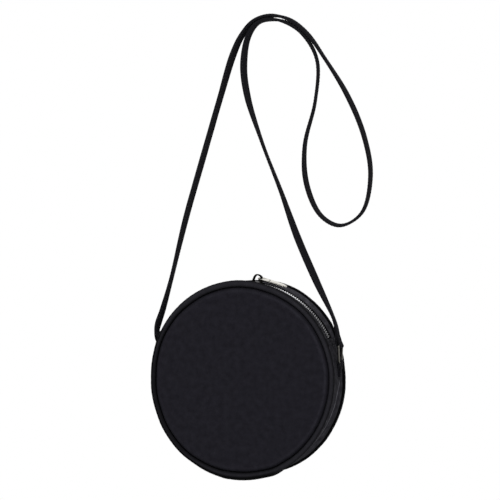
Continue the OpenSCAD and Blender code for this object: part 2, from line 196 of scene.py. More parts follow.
def paint(red, green, blue):
    # a screen colour of 0 to 255 as the renderer's own linear one
    def linear(level):
        share = level / 255
        return share / 12.92 if share <= 0.04045 else ((share + 0.055) / 1.055) ** 2.4

    return (linear(red), linear(green), linear(blue), 1)


# screen colours of painted shade in the cloth's seams and recesses, and of painted shadow on the zip's teeth
paintedClothShade, paintedMetalShade = (5, 5, 6), (14, 14, 14)


def wovenFinish(name, look):
    # Woven cloth: threads over and under, uneven dye and fine fuzz. It follows the UV map.
    finish = finishNamed(name)
    place = finish.node("ShaderNodeUVMap", {"uv_map": "weave"})
    if look.get("bias"):
        turn = (0, 0, math.radians(look["bias"]))
        place = finish.node("ShaderNodeMapping", None, {"Vector": place, "Rotation": turn})
    along = finish.node("ShaderNodeSeparateXYZ", None, {"Vector": place})
    across = along.output("Y")
    pace = math.tau / (look["thread"] * mm)
    if look.get("twill"):
        weave = ((along + across) * pace).maths("SINE") * 0.5 + 0.5
        weave = weave * (0.6 + 0.4 * (((along - across) * pace * 0.5).maths("SINE") * 0.5 + 0.5))
    else:
        weave = (along * pace).maths("SINE") * (across * pace).maths("SINE") * 0.5 + 0.5
    dye = finish.clouds(place, look["dyeSize"], 3)
    fuzz = finish.clouds(place, 1.1, 2, 0.7)
    shade = weave * look["weaveShade"] + dye * look["dyeShade"] + fuzz * look["fuzzShade"]
    colour = finish.tinted(shade.maths("MINIMUM", 1), paint(*look["dark"]), paint(*look["light"]))
    if look.get("wear_and_highlight"):
        # pale in patches with wear and painted highlights; dark with painted shade in the seams
        rubbed = finish.mark("wear_and_highlight")
        patches = finish.clouds(place, 7, 3, 0.6)
        share = (rubbed * (patches * 2.4 - 0.45)).held()
        colour = finish.tinted(share, colour, paint(*look["wear_and_highlight"]))
        colour = finish.tinted(finish.mark("seam").maths("MINIMUM", 1), colour, paint(*paintedClothShade))
    return finish.solid({
        "Base Color": colour,
        "Roughness": fuzz * 0.12 + look["rough"],
        "Specular IOR Level": look["gloss"],
        "Normal": finish.bump(look["relief"], 0.25, weave * 0.7 + fuzz * 0.5),
    })


def metalFinish(name, look):
    # Plated metal with fine rubbing marks and a slightly cloudy plating
    finish = finishNamed(name)
    place = finish.here()
    drawn = finish.node("ShaderNodeMapping", None, {"Vector": place, "Scale": (0.25, 1, 1)})
    rubbed = finish.clouds(drawn, 0.5, 3, 0.6)
    plating = finish.clouds(place, 3)
    colour = finish.tinted(plating, paint(*look["dark"]), paint(*look["light"]))
    # painted highlight and painted shadow where the piece's marks say; only the teeth have them
    if look.get("wear_and_highlight"):
        for kind, shade in (("wear_and_highlight", look["wear_and_highlight"]), ("seam", paintedMetalShade)):
            colour = finish.tinted(finish.mark(kind).maths("MINIMUM", 1), colour, paint(*shade))
    return finish.solid({
        "Base Color": colour,
        "Roughness": rubbed * 0.15 + look["rough"],
        "Metallic": 1.0,
        "Specular Tint": (look.get("edge", 1.0),) * 3 + (1,),
        "Normal": finish.bump(look["relief"], 0.05, rubbed),
    })


# what most of the cloths share
plainCloth = {
    "thread": 0.62, "dyeSize": 3, "weaveShade": 0.35, "dyeShade": 0.3, "fuzzShade": 0.35,
    "relief": 0.6, "rough": 0.85, "gloss": 0.03,
}
# the pale third colour of the face, gusset and piping is wear and painted highlights together
clothLooks = {
    "face": {
        "dark": (10, 9, 13), "light": (42, 41, 48), "wear_and_highlight": (72, 71, 80),
        "dyeSize": 6, "weaveShade": 0.2, "dyeShade": 0.6, "fuzzShade": 0.2,
    },
    "gusset": {
        "dark": (12, 12, 15), "light": (38, 37, 42), "wear_and_highlight": (104, 103, 110),
        "dyeSize": 4, "weaveShade": 0.3, "dyeShade": 0.35,
    },
    "piping": {
        "dark": (18, 18, 21), "light": (42, 41, 46), "wear_and_highlight": (76, 75, 82),
        "rough": 0.8, "gloss": 0.04, "bias": 45,
    },
    "strap": {"dark": (8, 8, 10), "light": (36, 35, 39), "fuzzShade": 0.3},
    "tape": {
        "dark": (10, 10, 12), "light": (30, 30, 34), "thread": 0.9, "dyeSize": 4, "twill": True,
        "weaveShade": 0.6, "dyeShade": 0.2, "fuzzShade": 0.15, "relief": 0.8, "rough": 0.8,
        "gloss": 0.05,
    },
    "lining": {
        "dark": (44, 44, 48), "light": (66, 66, 71), "thread": 0.4, "dyeSize": 12, "twill": True,
        "weaveShade": 0.3, "dyeShade": 0.4, "fuzzShade": 0.2, "relief": 0.3, "rough": 0.6,
        "gloss": 0.3,
    },
    "cotton": {
        "dark": (188, 184, 172), "light": (232, 229, 218), "thread": 0.8, "twill": True,
        "weaveShade": 0.5, "fuzzShade": 0.2, "relief": 0.8, "gloss": 0.2,
    },
    "thread": {
        "dark": (26, 26, 30), "light": (58, 58, 63), "thread": 0.3, "dyeSize": 2, "twill": True,
        "weaveShade": 0.7, "dyeShade": 0.2, "fuzzShade": 0.1, "relief": 0.8, "rough": 0.55,
        "gloss": 0.15,
    },
}
cloths = {
    name: wovenFinish(name + "Cloth", plainCloth | look) for name, look in clothLooks.items()
}

# the rings' and the slider's metals are the pull's nickel painted darker, for painted shade and dark
# reflections; the teeth are painted darker for the shade between the bands, and their pale colour is their
# painted highlight
metalLooks = {
    "nickel": {"dark": (206, 203, 196), "light": (236, 233, 226), "rough": 0.13, "relief": 0.06},
    "shaded": {"dark": (62, 61, 58), "light": (98, 96, 91), "rough": 0.1, "relief": 0.1},
    "paintedDarkNickel": {
        "dark": (22, 22, 21), "light": (46, 45, 43), "rough": 0.1, "relief": 0.1,
        "edge": 0.15,  # how bright it mirrors at a flat angle, where plain metal has 1
    },
    "teeth": {
        "dark": (104, 104, 106), "light": (146, 146, 148), "rough": 0.3, "relief": 0.3,
        "wear_and_highlight": (246, 246, 248),
    },
}
metals = {name: metalFinish(name + "Metal", look) for name, look in metalLooks.items()}


def foamFinish():
    # Open-celled foam, yellowed in patches
    finish, poreSize = finishNamed("foam"), 0.9 * mm
    place = finish.here()
    holes = {"Vector": place, "Scale": 1 / poreSize}
    pores = finish.node("ShaderNodeTexVoronoi", None, holes, "Distance")
    yellowed = finish.clouds(place, 18, 3)
    return finish.solid({
        "Base Color": finish.tinted(yellowed, paint(222, 219, 206), paint(238, 236, 228)),
        "Roughness": 0.9 - pores * 0.2,
        "Specular IOR Level": 0.2,
        "Normal": finish.bump(0.7, 0.4, pores),
    })


foam = foamFinish()
print("finishes mixed")


def smoothStep(low, high, value):
    share = min(1.0, max(0.0, (value - low) / (high - low)))
    return share * share * (3 - 2 * share)


def soft(x, z, size, layer=0.0):
    # Smooth unevenness from -1 to 1, with swells about this many mm across. Each layer has a
    # pattern of its own.
    return noise.noise(Vector((x / size, z / size, layer)))


def readOff(table, angle, column=1):
    # a value for this angle, smoothly between the rows of a table of angles and values
    angle %= 360
    low, high = next(pair for pair in zip(table, table[1:]) if pair[0][0] <= angle < pair[1][0])
    return low[column] + (high[column] - low[column]) * smoothStep(low[0], high[0], angle)


def stray(angle, depth):
    # How far a place by a rim stands out of round. The zip and the tabs between them stay put.
    out = readOff(bag["stray"], angle, 1 if depth < 0 else 2)
    return out * smoothStep(*bag["rims"], abs(depth))


def press(angle, radius, depth):
    # how far the front piping's inner side and the face's edge are pushed in
    if depth > 0:
        return 0.0
    inner = smoothStep(*bag["pressGrows"], radius) * (1 - smoothStep(*bag["pressEnds"], radius))
    return readOff(bag["press"], angle) * inner * smoothStep(*bag["rims"], -depth)


def onBag(angle, radius, depth):
    # A point on the bag from its angle, its distance from the bag's axis and its depth behind
    # the middle. The bag sags low on the left.
    turn = math.radians(angle)
    off = ((angle - bag["sagAngle"] + 180) % 360 - 180) / bag["sagWidth"]
    out = bag["sag"] * math.exp(-off * off) + stray(angle, depth)
    radius += out * (radius / bag["gusset"]) ** 2 - press(angle, radius, depth)
    across, up = radius * math.cos(turn), radius * math.sin(turn)
    return Vector((bag["x"] + across, depth, bag["z"] + up)) * mm


def inScene(name, data):
    # a new object that holds this data
    made = bpy.data.objects.new(name, data)
    bpy.context.scene.collection.objects.link(made)
    return made


def marked(mesh, kind, values):
    # writes one number for each of a mesh's points, which its finish reads
    mesh.attributes.new(kind, "FLOAT", "POINT").data.foreach_set("value", values)


def madeObject(name, mesh, finish, sharp=55):
    # cleans a new mesh, turns its faces outwards and shades it
    shell = bmesh.new()
    shell.from_mesh(mesh)
    bmesh.ops.remove_doubles(shell, verts=shell.verts, dist=0.004 * mm)
    bmesh.ops.recalc_face_normals(shell, faces=shell.faces)
    shell.to_mesh(mesh)
    shell.free()
    mesh.materials.clear()
    mesh.materials.append(finish)
    mesh.shade_smooth()
    mesh.set_sharp_from_angle(angle=math.radians(sharp))
    return inScene(name, mesh)


def loftedPiece(name, rings, finish, along, across, closed=False, sharp=55, tones=()):
    # A tube of any section through rings of points. along and across are the UV map's lengths,
    # one more than the rings or points where they close on themselves. tones has each point's
    # share of wear and painted highlight, and of painted shade.
    count, points = len(rings), len(rings[0])
    corners = [point for ring in rings for point in ring]
    faces, marks = [], []
    for i in range(count if closed else count - 1):
        j = (i + 1) % count
        for k in range(points):
            m = (k + 1) % points
            faces.append((i * points + k, i * points + m, j * points + m, j * points + k))
            marks += [
                (along[i], across[k]), (along[i], across[k + 1]),
                (along[i + 1], across[k + 1]), (along[i + 1], across[k]),
            ]
    if not closed:
        for start in (0, (count - 1) * points):
            faces.append(tuple(range(start, start + points)))
            marks += [(rings[0][k].x, rings[0][k].y) for k in range(points)]
    mesh = bpy.data.meshes.new(name)
    mesh.from_pydata(corners, [], faces)
    layer = mesh.uv_layers.new(name="weave")
    layer.data.foreach_set("uv", [number for mark in marks for number in mark])
    for kind, values in zip(("wear_and_highlight", "seam"), zip(*tones)):
        marked(mesh, kind, values)
    return madeObject(name, mesh, finish, sharp)


def runLengths(points, closed=False):
    # how far along a line each of its points lies
    line = list(points) + ([points[0]] if closed else [])
    lengths = [0.0]
    for a, b in zip(line, line[1:]):
        lengths.append(lengths[-1] + (Vector(b) - Vector(a)).length)
    return lengths


def acrossLengths(section):
    # how far round a closed section in mm each of its points lies, in metres
    return [length * mm for length in runLengths(section, True)]


def evenly(low, high, count):
    return [low + (high - low) * i / (count - 1) for i in range(count)]


def turnedPiece(
    name, section, angles, side, finish, shape=None, closed=False, sharp=55, tone=None
):
    # A section of (radius, distance from the middle) carried round the bag, on its front or rear
    # side. shape moves a point of the section by its angle, and tone gives a point's share of
    # wear and painted highlight, and of painted shade.
    rings = []
    for angle in angles:
        moved = [shape(r, out, angle) if shape else (r, out) for r, out in section]
        rings.append([onBag(angle, r, side * out) for r, out in moved])
    along = [math.radians(angle) * bag["gusset"] * mm for angle in angles]
    if closed:
        along.append(along[0] + math.tau * bag["gusset"] * mm)
    tones = [tone(r, side * out, angle) for angle in angles for r, out in section] if tone else ()
    return loftedPiece(name, rings, finish, along, acrossLengths(section), closed, sharp, tones)


def flatWeave(piece):
    # lays the weave straight across a face instead of round it
    mesh = piece.data
    layer = mesh.uv_layers["weave"]
    for loop in mesh.loops:
        place = mesh.vertices[loop.vertex_index].co
        layer.data[loop.index].uv = (place.x, place.z)


def beside(line, i):
    # the places before and after this one on an open line
    return line[max(i - 1, 0)], line[min(i + 1, len(line) - 1)]


def stripOutline(line, thickness):
    # outline of a strip of cloth that follows a line in the section
    left, right = [], []
    for i, point in enumerate(line):
        before, after = beside(line, i)
        run = Vector((after[0] - before[0], after[1] - before[1])).normalized()
        off = Vector((-run.y, run.x)) * thickness / 2
        left.append((point[0] + off.x, point[1] + off.y))
        right.append((point[0] - off.x, point[1] - off.y))
    return left + right[::-1]


def arc(middle, radius, start, end, count):
    turns = [math.radians(angle) for angle in evenly(start, end, count)]
    return [(middle[0] + radius * math.cos(t), middle[1] + radius * math.sin(t)) for t in turns]


# The mouth opens by bending the cloth over this band, from the bag to its front flap. The band
# lies askew, because the right end of the zip stays shut while the slider is still on its way.
mouthBend = {"left": (-88, 42), "right": (63.6, 75.3), "width": 34}


def bendAtMouth(piece):
    # bends a piece from the bag to the front flap, over the band
    left, right = Vector(mouthBend["left"]), Vector(mouthBend["right"])
    run = (right - left).normalized()
    up = Vector((-run.y, run.x)) * mouthBend["width"]
    start = Vector((bag["x"] + left.x, 0, bag["z"] + left.y)) * mm
    end = start + Vector((up.x, 0, up.y)) * mm
    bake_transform(piece, "bag", "front_flap", start=start, end=end)


def settle(piece, side, frontNodes, rearNodes):
    # a front piece bends at the mouth, and a rear one stays with the bag
    if side == front:
        bendAtMouth(piece)
    else:
        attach(piece, "bag")
    nodes = frontNodes if side == front else rearNodes
    if nodes:
        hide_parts(*nodes)


# The strap comes first, because its route decides the picture.
# Its route from the left ring to the right one: across, up, and the turn of its width in degrees.
# The first and last places only say which way its ends point.
strap = {
    "width": 8.8,
    "steps": 8,
    "route": [
        (-122.8, -321, 0), (-124.8, -311, 0), (-123.4, -303, -12), (-118.4, -289, -7),
        (-108.4, -256, 9), (-92.8, -197, -5), (-73.4, -134, -8), (-53.9, -72, -7),
        (-41.2, -33, -17), (-31.6, -13.5, -8), (-18.2, 1, 3), (0, 5.2, 0), (18.5, 0.4, 10),
        (37, -14, 5), (55.7, -40, -2),
        (79.7, -79, 9), (96.4, -120, 5), (102.1, -157, 0), (93.4, -191.6, -8), (72, -203.8, -9),
        (52, -194, -4), (37.2, -163, -6), (35.3, -125, 5), (46, -82, 13), (48, -42, 8),
        (33.2, -15, -4), (15.5, -2.4, -10), (0, 1.4, 0), (-14, -1.2, -3), (-24.2, -14, 5),
        (-29.2, -42, 19), (-25.4, -73, 15), (-9.4, -121, -10), (10.6, -170, -3), (27.4, -214.5, 21),
        (47.6, -259, 20), (63.9, -292, -9), (67.1, -301, -6), (69, -311, 0), (71, -321, 0),
    ],
    # a quarter of the section, from its edge over its face: a sunk seam line and a full middle
    "section": [
        (4.4, 0), (4.4, 0.55), (4.32, 0.94), (4.12, 1.24), (3.86, 1.32), (3.58, 1.2), (3.3, 1.3),
        (2.5, 1.36), (1.2, 1.4), (0, 1.4),
    ],
    "seam": 3.58,
    "seamHeight": 1.16,
    "stitch": 3.2,
}


def routePoint(p, q, r, s, share):
    # point on a smooth curve through four places, between the second and the third
    def knot(a, b):
        return math.hypot(b[0] - a[0], b[1] - a[1]) ** 0.5

    first = knot(p, q)
    second = first + knot(q, r)
    third = second + knot(r, s)
    at = first + share * (second - first)

    def mixed(a, b, low, high):
        return [(u * (high - at) + v * (at - low)) / (high - low) for u, v in zip(a, b)]

    a, b, c = mixed(p, q, 0, first), mixed(q, r, first, second), mixed(r, s, second, third)
    return mixed(mixed(a, b, 0, second), mixed(b, c, first, third), first, second)


def strapLine():
    # the strap's middle line: place, direction of its width and direction through it
    route, steps, line = strap["route"], strap["steps"], []
    for i in range(len(route) - 3):
        line += [routePoint(*route[i:i + 4], k / steps) for k in range(steps)]
    line.append(route[-2])
    found = []
    for i, (x, z, turn) in enumerate(line):
        before, after = beside(line, i)
        run = Vector((after[0] - before[0], 0, after[1] - before[1])).normalized()
        if i in (0, len(line) - 1):
            run = Vector((0, 0, 1 if i == 0 else -1))
        normal = Vector((-run.z, 0, run.x))
        turn = math.radians(turn)
        across = math.cos(turn) * Vector((0, 1, 0)) + math.sin(turn) * normal
        found.append((Vector((x, 0, z)) * mm, across, run.cross(across)))
    return found


def ribbonRings(line, section):
    # section is one list of (across, through) in mm, or one for each place on the line
    rings = []
    for i, (place, across, through) in enumerate(line):
        shape = section[i] if isinstance(section[0], list) else section
        rings.append([place + across * u * mm + through * v * mm for u, v in shape])
    return rings


def fullSection(half):
    # the whole outline from its upper right quarter, mirrored twice
    upper = half + [(-u, v) for u, v in half[-2::-1]]
    return upper + [(u, -v) for u, v in upper[-2:0:-1]]


def placesOf(line):
    # a ribbon's line without its directions
    return [place for place, across, through in line]


strapPath = strapLine()
strapSection = fullSection(strap["section"])
strapRings = []
for i, ring in enumerate(ribbonRings(strapPath, strapSection)):
    # softly uneven along its length, as turned and pressed cloth is
    place, across, through = strapPath[i]
    x, z = place.x / mm, place.z / mm
    swell = 1 + 0.02 * soft(x, z, 16)
    lift = through * 0.1 * soft(x, z, 24, 3.0) * mm
    ends = min(i, len(strapPath) - 1 - i) / 6
    strapRings.append([place + (point - place) * swell + lift * min(1, ends) for point in ring])
strapPlaces = placesOf(strapPath)
strapLength = runLengths(strapPlaces)
strapPiece = loftedPiece(
    "strapCloth", strapRings, cloths["strap"], strapLength, acrossLengths(strapSection), sharp=70
)
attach(strapPiece, "strap")
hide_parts("strap")
print(f"strap laid, {strapLength[-1]:.3f} m")

# The camera stands level, to the bag's right
camera = {"place": (443.1, -1212.8, -227.6), "turn": 21, "lens": 93.6, "sensor": 36}
cameraData = bpy.data.cameras.new("camera")
cameraData.lens = camera["lens"]
cameraData.sensor_width = camera["sensor"]
cameraData.sensor_fit = "HORIZONTAL"
cameraData.clip_end = 50
cameraObject = inScene("camera", cameraData)
cameraObject.location = Vector(camera["place"]) * mm
cameraObject.rotation_euler = (math.radians(90), 0, math.radians(camera["turn"]))
bpy.context.scene.camera = cameraObject

# The faces: outer cloth turned in at its edge, foam behind it and lining behind that
face = {
    "edge": 92.2,
    "out": 22.0,
    "round": 4.0,
    "seamOut": 12.8,
    "foamEdge": 89.8,
    "foam": (18.3, 20.7),
    "liningEdge": 90.9,
    "lining": (17.6, 18.2),
    "swell": 0.7,
    "swellEdge": 89,
    "wave": 0.35,
    "pucker": 0.22,
    "puckers": 61,
    # the radii over which the puckers grow and end
    "puckersGrow": (80, 87),
    "puckersEnd": (90.5, 92),
    "segments": 240,
}


def swell(r, angle):
    # how far a face stands out of its flat, the same for its three layers
    turn = math.radians(angle)
    share = max(0.0, 1 - (r / face["swellEdge"]) ** 2)
    uneven = soft(r * math.cos(turn), r * math.sin(turn), 34, 7.0)
    return face["swell"] * share + face["wave"] * uneven * min(1, share * 3)


def facePoint(r, out, angle):
    # swells, and puckers beside the piping
    moved = out + (swell(r, angle) if out > 17 else 0)
    if out > face["out"] - 1 and face["puckersGrow"][0] < r < face["edge"]:
        turn = math.radians(angle)
        drift = soft(r * math.cos(turn), r * math.sin(turn), 16, 2.0)
        gather = 0.5 + 0.5 * math.sin(face["puckers"] * turn + 5 * drift)
        reach = smoothStep(*face["puckersGrow"], r)
        moved -= face["pucker"] * gather * reach * (1 - smoothStep(*face["puckersEnd"], r))
    return r, moved


def bell(value, width):
    return math.exp(-((value / width) ** 2))


def toTheRight(angle, middle=20, width=75):
    # 1 on the side that lies in the light, going over to 0 on the other
    return bell((angle - middle + 180) % 360 - 180, width)


def faceTone(r, depth, angle):
    # painted highlight on the face's rim, strongest on the side in the light, and painted shade in the
    # groove at its edge
    wear_and_highlight = 0.2 * bell(r - 88.3, 1.2) * (0.15 + 0.85 * toTheRight(angle))
    return wear_and_highlight, 0.3 * smoothStep(89.6, 91.6, r)


def layerPoint(r, out, angle):
    # the foam and the lining swell as the outer cloth does
    return r, out + swell(r, angle)


angles = evenly(0, 360, face["segments"] + 1)[:-1]
faceRadii = evenly(0, 78, 20) + evenly(80, face["edge"] - face["round"], 9)
inner = face["round"] - bag["cloth"]
cornerOut, cornerRadius = face["out"] - face["round"], face["edge"] - face["round"]
faceSection = (
    [(r, face["out"]) for r in faceRadii]
    + arc((cornerRadius, cornerOut), face["round"], 90, 0, 8)[1:]
    + [(face["edge"], out) for out in evenly(cornerOut, face["seamOut"], 5)[1:]]
    + [(face["edge"] - bag["cloth"], out) for out in evenly(face["seamOut"], cornerOut, 5)]
    + arc((cornerRadius, cornerOut), inner, 0, 90, 6)[1:]
    + [(r, face["out"] - bag["cloth"]) for r in faceRadii[-2::-1]]
)


def discSection(edge, low, high, rounding):
    # a flat disc with a round edge
    radii = evenly(0, edge - rounding, 22)
    middle = (low + high) / 2
    return (
        [(r, high) for r in radii]
        + arc((edge - rounding, middle), (high - low) / 2, 90, -90, 7)[1:-1]
        + [(r, low) for r in radii[::-1]]
    )


foamSection = discSection(face["foamEdge"], *face["foam"], 1.2)
liningSection = discSection(face["liningEdge"], *face["lining"], 0.3)
for side, sign in sides:
    cover = turnedPiece(
        side + "Face", faceSection, angles, sign, cloths["face"], facePoint, True, 70, faceTone
    )
    flatWeave(cover)
    settle(cover, sign, ["front_panel_upper", "front_panel_lower"], ["rear_panel"])
    pad = turnedPiece(side + "Foam", foamSection, angles[::2], sign, foam, layerPoint, True)
    settle(pad, sign, ["front_foam_upper", "front_foam_lower"], ["rear_foam"])
    lining = turnedPiece(
        side + "Lining", liningSection, angles[::2], sign, cloths["lining"], layerPoint, True
    )
    flatWeave(lining)
    settle(lining, sign, ["front_lining_upper", "front_lining_lower"], ["rear_lining"])
print("faces sewn")

# Piping: a bias strip folded round a cord, with its two edges lying together in the seam
piping = {
    "middle": (94.9, 20.4),
    "radius": 2.6,
    "cloth": 0.9,
    "flange": (92.75, 93.45),
    "seamOut": 12.8,
    # from the cord's middle down to where the strip's edges meet, and how they lean together
    "neck": 2.15,
    "pinch": 0.28,
    "cord": 1.5,
    "gather": 0.05,
    "gathers": 118,
    "uneven": 0.06,
    "join": 262,
    "joinRise": 0.22,
    "joinWidth": 2.2,
    "strands": 3,
    "twist": 14,
}


def pipingLine():
    # the strip's own line in the section: up the inner edge, round the cord, down the outer edge
    middle, bend = piping["middle"], piping["radius"] - piping["cloth"] / 2
    low, high = piping["flange"]
    meet = piping["middle"][1] - piping["neck"]
    return (
        [(low, out) for out in evenly(piping["seamOut"], meet, 5)]
        + arc(middle, bend, 212, -104, 30)
        + [(high + piping["pinch"], out) for out in evenly(meet - 0.6, piping["seamOut"], 5)]
    )


def fromCord(r, out):
    return Vector((r - piping["middle"][0], out - piping["middle"][1]))


def pipingPoint(r, out, angle):
    # small gathers and the lap where the strip's ends join, on the outside of the round only
    away = fromCord(r, out)
    if out < 18.0 or away.length < 2.2:
        return r, out
    turn = math.radians(angle)
    drift = soft(angle, 0, 7, 4.0)
    grow = piping["gather"] * math.sin(piping["gathers"] * turn + 4 * drift)
    grow += piping["uneven"] * soft(angle, 3, 11, 1.0)
    fromJoin = angle - piping["join"] + (out - 20) * 0.9
    grow += piping["joinRise"] * bell(fromJoin, piping["joinWidth"])
    away *= (away.length + grow) / away.length
    return piping["middle"][0] + away.x, piping["middle"][1] + away.y


def cordPoint(r, out, angle):
    # the strands twisted together
    away = fromCord(r, out)
    turn = math.atan2(away.y, away.x)
    twist = piping["twist"] * math.radians(angle) * 3
    lobe = 0.9 + 0.1 * math.cos(piping["strands"] * turn - twist)
    return piping["middle"][0] + away.x * lobe, piping["middle"][1] + away.y * lobe


def pipingTone(r, depth, angle):
    # painted highlight on its crown, strongest on the side in the light, wear at random, and
    # painted shade round its outer side and where it turns in to the seams
    turn = math.degrees(math.atan2(abs(depth) - piping["middle"][1], r - piping["middle"][0]))
    wear_and_highlight = 0.14 * bell(turn - 80, 30) * (0.3 + 0.7 * toTheRight(angle))
    wear_and_highlight += 0.1 * max(0.0, soft(angle * bag["pace"], 0, 6, 16.0))
    outer = 0.95 * bell(turn - 2, 38)
    dusk = 0.0
    if depth < 0:
        # in front, painted shade on the lower left side, which lies in its own shade, and on the left
        shade = smoothStep(140, 158, angle) * (1 - smoothStep(288, 302, angle))
        outer = max(outer, shade * (1 - smoothStep(68, 102, turn - 10)))
        dusk = 0.5 * smoothStep(160, 180, angle) * (1 - smoothStep(226, 250, angle))
    return wear_and_highlight, max(outer, dusk, smoothStep(-15, -50, turn), 0.6 * smoothStep(115, 150, turn))


pipingAngles, cordAngles = evenly(0, 360, 481)[:-1], evenly(0, 360, 361)[:-1]
pipingSection = stripOutline(pipingLine(), piping["cloth"])
cordSection = arc(piping["middle"], piping["cord"], 0, 330, 12)
for side, sign in sides:
    edging = turnedPiece(
        side + "Piping", pipingSection, pipingAngles, sign, cloths["piping"], pipingPoint, True, 70,
        pipingTone,
    )
    settle(edging, sign, ["front_piping_upper", "front_piping_lower"], ["rear_piping"])
    cord = turnedPiece(
        side + "PipingCord", cordSection, cordAngles, sign, cloths["cotton"], cordPoint, True, 80
    )
    settle(cord, sign, ["front_cord_upper", "front_cord_lower"], ["rear_cord"])
print("piping folded")

# Lower gusset: pressed in along a crease down its middle, and doubled at both ends beside the zip
gusset = {
    "out": 17.7,
    "valley": 2.3,
    "valleyHalf": 13.5,
    "hem": 4.25,
    "hemRise": 1.0,
    "nose": 1.1,
    "liningRadius": 90.9,
    "liningThickness": 0.6,
    "liningOut": 17.5,
    "creaseStart": 3,
    # how far back the crease drifts, and between which angles
    "creaseDrifts": ((2.0, 298, 318), (1.8, 326, 346)),
    "creaseWander": 0.5,
    "creaseWidth": 0.75,
}


clothLow, clothHigh = bag["gusset"] - bag["cloth"], bag["gusset"]


def fromEnds(angle, end):
    # degrees from the nearer end of the lower gusset, which starts this far above the sides
    return min(angle - (180 - end), 360 + end - angle)


def creaseShare(angle):
    # the crease runs out below the ring tabs on both sides
    return smoothStep(0, 14, fromEnds(angle, gusset["creaseStart"]))


def creaseOut(angle):
    # where the crease lies: in the middle, but further back near the right tab
    first, second = [back * smoothStep(*reach, angle) for back, *reach in gusset["creaseDrifts"]]
    return first + second + gusset["creaseWander"] * soft(angle, 1, 17, 11.0)


def valley(out, angle):
    # depth of the pressed-in middle
    uneven = 1 + 0.12 * soft(angle, 0, 13, 5.0)
    away = out - creaseOut(angle)
    half = gusset["valleyHalf"] + math.copysign(creaseOut(angle), -away)
    slope = max(0.0, 1 - math.hypot(away, 0.25) / half)
    return gusset["valley"] * creaseShare(angle) * uneven * slope**1.15


def pipingShadeTone(depth, angle):
    # painted shade beside the piping, and where the piping in front stands before the cloth
    shut = 12.4 - 3.0 * smoothStep(0.17, 0.87, math.sin(math.radians(angle)))
    hidden = smoothStep(shut - 0.4, shut + 1.6, -depth)
    return 0.85 * max(hidden, smoothStep(16.2, 17.3, abs(depth)))


def gussetTone(r, depth, angle):
    # painted highlight along the crease, painted shade in front of it, and mottled at random
    crease = bell(depth - creaseOut(angle), gusset["creaseWidth"]) * min(1, 3 * creaseShare(angle))
    shade = 0.45 * bell(depth - creaseOut(angle) + 3.0, 1.8) * creaseShare(angle)
    mottle = 0.13 + 0.13 * soft(angle * bag["pace"], depth, 5, 14.0)
    return max(1.3 * crease, mottle), max(shade, pipingShadeTone(depth, angle))


def bandTone(r, depth, angle):
    # painted highlight where the rear band catches the light on the right, over random mottling,
    # and painted shade beside the piping and at the folded edge by the zip
    mottle = 0.18 + 0.17 * soft(angle * bag["pace"], depth, 4, 15.0)
    lit = 0.25 * toTheRight(angle, 60, 22) if depth > 0 else 0.04
    return mottle + lit, max(pipingShadeTone(depth, angle), 0.8 * (1 - smoothStep(6.0, 6.7, abs(depth))))


def thinned(half, past):
    # half a thickness near a round edge: past grows from 0 where the round starts to 1 at the edge
    return half * math.sqrt(max(0.0, 1 - past**2))


def gussetPoint(r, out, angle):
    # doubled and round at its two ends, and round along its two edges
    outside = r > clothHigh - 0.1
    fromEnd = fromEnds(angle, bag["zipEnd"])
    doubled = 1 - smoothStep(gusset["hem"] - 0.35, gusset["hem"], fromEnd)
    high = clothHigh + gusset["hemRise"] * doubled
    middle, half = (clothLow + high) / 2, (high - clothLow) / 2
    nose = fromEnd * math.radians(1) * bag["gusset"] / gusset["nose"]
    half = thinned(half, 1 - min(1, nose))
    half = thinned(half, max(0.0, (abs(out) - gusset["out"] + 0.5) / 0.5))
    level = middle + half if outside else middle - half
    wave = 0.18 * soft(angle * bag["pace"], out, 15, 8.0) * smoothStep(0, 8, fromEnd)
    return level - valley(out, angle) + wave, out


def bandSection(low, high, inner, outer, step):
    # closed section of a band of cloth between two depths
    count = max(3, int((outer - inner) / step) + 1)
    outs = evenly(inner, outer, count)
    return [(high, out) for out in outs] + [(low, out) for out in outs[::-1]]


# from the zip's left end under the bag to its right end, closer together at both ends
leftEnd, rightEnd = 180 - bag["zipEnd"], 360 + bag["zipEnd"]
baseAngles = (
    [leftEnd + a for a in (0, 0.06, 0.18, 0.35, 0.6)]
    + evenly(leftEnd + 0.9, leftEnd + 5, 14)
    + evenly(leftEnd + 5.8, rightEnd - 5.8, 240)
    + evenly(rightEnd - 5, rightEnd - 0.9, 14)
    + [rightEnd - a for a in (0.6, 0.35, 0.18, 0.06, 0)]
)
base = turnedPiece(
    "gusset", bandSection(clothLow, clothHigh, -gusset["out"], gusset["out"], 0.45), baseAngles, 1,
    cloths["gusset"], gussetPoint, sharp=70, tone=gussetTone,
)
settle(base, 1, [], ["gusset_base"])


def gussetLiningPoint(r, out, angle):
    # follows the pressed-in middle loosely
    loose = smoothStep(0, 8, fromEnds(angle, bag["zipEnd"]))
    free = 1 - abs(out) / gusset["liningOut"]
    wave = 0.3 * soft(angle * bag["pace"], out, 12, 9.0) * loose * free
    return r - 0.55 * valley(out, angle) + wave, out


liningLow, liningHigh = gusset["liningRadius"] - gusset["liningThickness"], gusset["liningRadius"]
baseLining = turnedPiece(
    "gussetLining",
    bandSection(liningLow, liningHigh, -gusset["liningOut"], gusset["liningOut"], 1.4),
    evenly(leftEnd, rightEnd, 160), 1, cloths["lining"], gussetLiningPoint,
)
settle(baseLining, 1, [], ["gusset_lining"])
print("gusset pressed")

# The bands of cloth beside the zip, folded under at their inner edge, and the lining below them
band = {
    "inner": 6.0,
    "outer": 17.7,
    "tilt": 0.055,
    "uneven": 0.12,
    "rise": 0.45,
    "endAngle": 25.56,
    "liningInner": 6.6,
}


